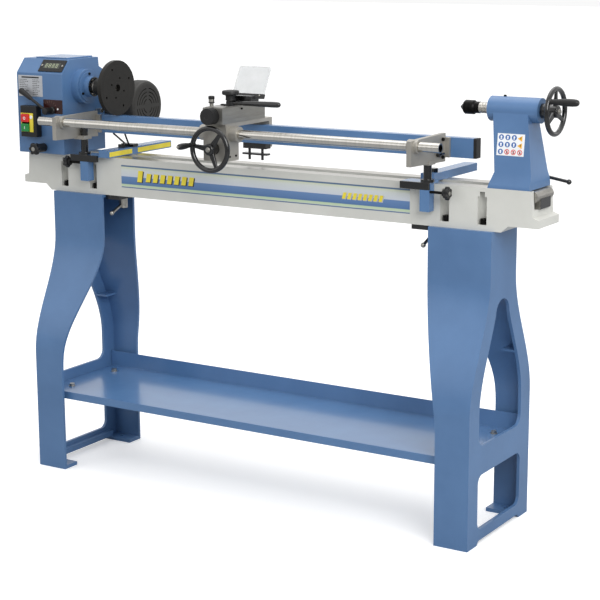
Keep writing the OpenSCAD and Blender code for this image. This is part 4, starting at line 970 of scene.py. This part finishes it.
WHITE = (1, 1, 1, 1)
LAMPS = (("key", (3.0, -2.2, 2.7), 2.2, 92), ("fill", (-2.6, -3.6, 2.2), 2.6, 16),
    ("top", (0.0, 0.6, 3.6), 3.0, 36))
LAMP_AIM = Vector((0, 0, 0.8))
CAMERA_PLACE = (2.3525, -3.6319, 1.4566)
CAMERA_TURN = (31.918, 12.236, -0.25)
CAMERA_LENS = 100.28


def studio_walls(tree):
    """White behind the machine; in what it reflects, a darker band low on the operator's side."""
    split = tree.nodes.new("ShaderNodeSeparateXYZ")
    tree.links.new(tree.nodes.new("ShaderNodeTexCoord").outputs["Generated"], split.inputs[0])
    ramp = tree.nodes.new("ShaderNodeValToRGB")
    stops = ramp.color_ramp.elements
    for position in (0.14, 0.3):
        stops.new(position)
    for stop, (position, tone) in zip(stops, ((0.0, 0.36), (0.14, 0.24), (0.3, 0.85), (1.0, 1.0))):
        stop.position = position
        stop.color = (tone, tone, tone, 1)
    tree.links.new(split.outputs[2], ramp.inputs[0])
    behind = mapped(tree, split.outputs[1], -0.25, 0.35)
    seen = tree.nodes.new("ShaderNodeLightPath").outputs["Is Camera Ray"]
    colour = colour_mix(tree, seen, colour_mix(tree, behind, ramp.outputs[0], WHITE), WHITE)
    tree.links.new(colour, tree.nodes["Background"].inputs["Color"])
    tree.nodes["Background"].inputs["Strength"].default_value = 0.95


def pale_floor():
    """A wide floor, paler to the camera than to what stands on it."""
    bm = bmesh.new()
    bmesh.ops.create_grid(bm, x_segments=1, y_segments=1, size=30.0)
    mesh = bpy.data.meshes.new("floor")
    bm.to_mesh(mesh)
    bm.free()
    floor = bpy.data.objects.new("floor", mesh)
    bpy.context.collection.objects.link(floor)
    tree, shader = new_material("pale_floor")
    seen = tree.nodes.new("ShaderNodeLightPath").outputs["Is Camera Ray"]
    tone = colour_mix(tree, seen, (0.42, 0.43, 0.44, 1), (0.92, 0.92, 0.92, 1))
    tree.links.new(tone, shader.inputs["Base Color"])
    tree.links.new(seen, shader.inputs["Emission Color"])
    shader.inputs["Emission Strength"].default_value = 0.3
    shader.inputs["Roughness"].default_value = 0.7
    mesh.materials.append(FINISHES["pale_floor"])


def soft_lights(scene):
    """A white room round three area lights."""
    world = bpy.data.worlds.new("studio")
    world.use_nodes = True
    studio_walls(world.node_tree)
    scene.world = world
    for name, place, size, power in LAMPS:
        light = bpy.data.lights.new(name, "AREA")
        light.size, light.energy = size, power
        lamp = bpy.data.objects.new(name, light)
        bpy.context.collection.objects.link(lamp)
        lamp.location = place
        lamp.rotation_euler = (LAMP_AIM - Vector(place)).to_track_quat("-Z", "Y").to_euler()


def camera_view(scene):
    """A long lens to the right of the machine, a little above the ways."""
    lens = bpy.data.cameras.new("camera")
    lens.lens = CAMERA_LENS
    lens.sensor_width = 36.0
    lens.clip_end = 100.0
    camera = bpy.data.objects.new("camera", lens)
    bpy.context.collection.objects.link(camera)
    azimuth, elevation, roll = (math.radians(a) for a in CAMERA_TURN)
    right = Vector((math.cos(azimuth), math.sin(azimuth), 0))
    back = Vector((math.sin(azimuth) * math.cos(elevation), -math.cos(azimuth) * math.cos(elevation),
        math.sin(elevation)))
    up = back.cross(right)
    across = math.cos(roll) * right + math.sin(roll) * up
    upward = math.cos(roll) * up - math.sin(roll) * right
    turn = Matrix((across, upward, back)).transposed().to_4x4()
    camera.matrix_world = Matrix.Translation(CAMERA_PLACE) @ turn
    scene.camera = camera


pale_floor()
bpy.context.scene.view_settings.view_transform = "Standard"
soft_lights(bpy.context.scene)
camera_view(bpy.context.scene)
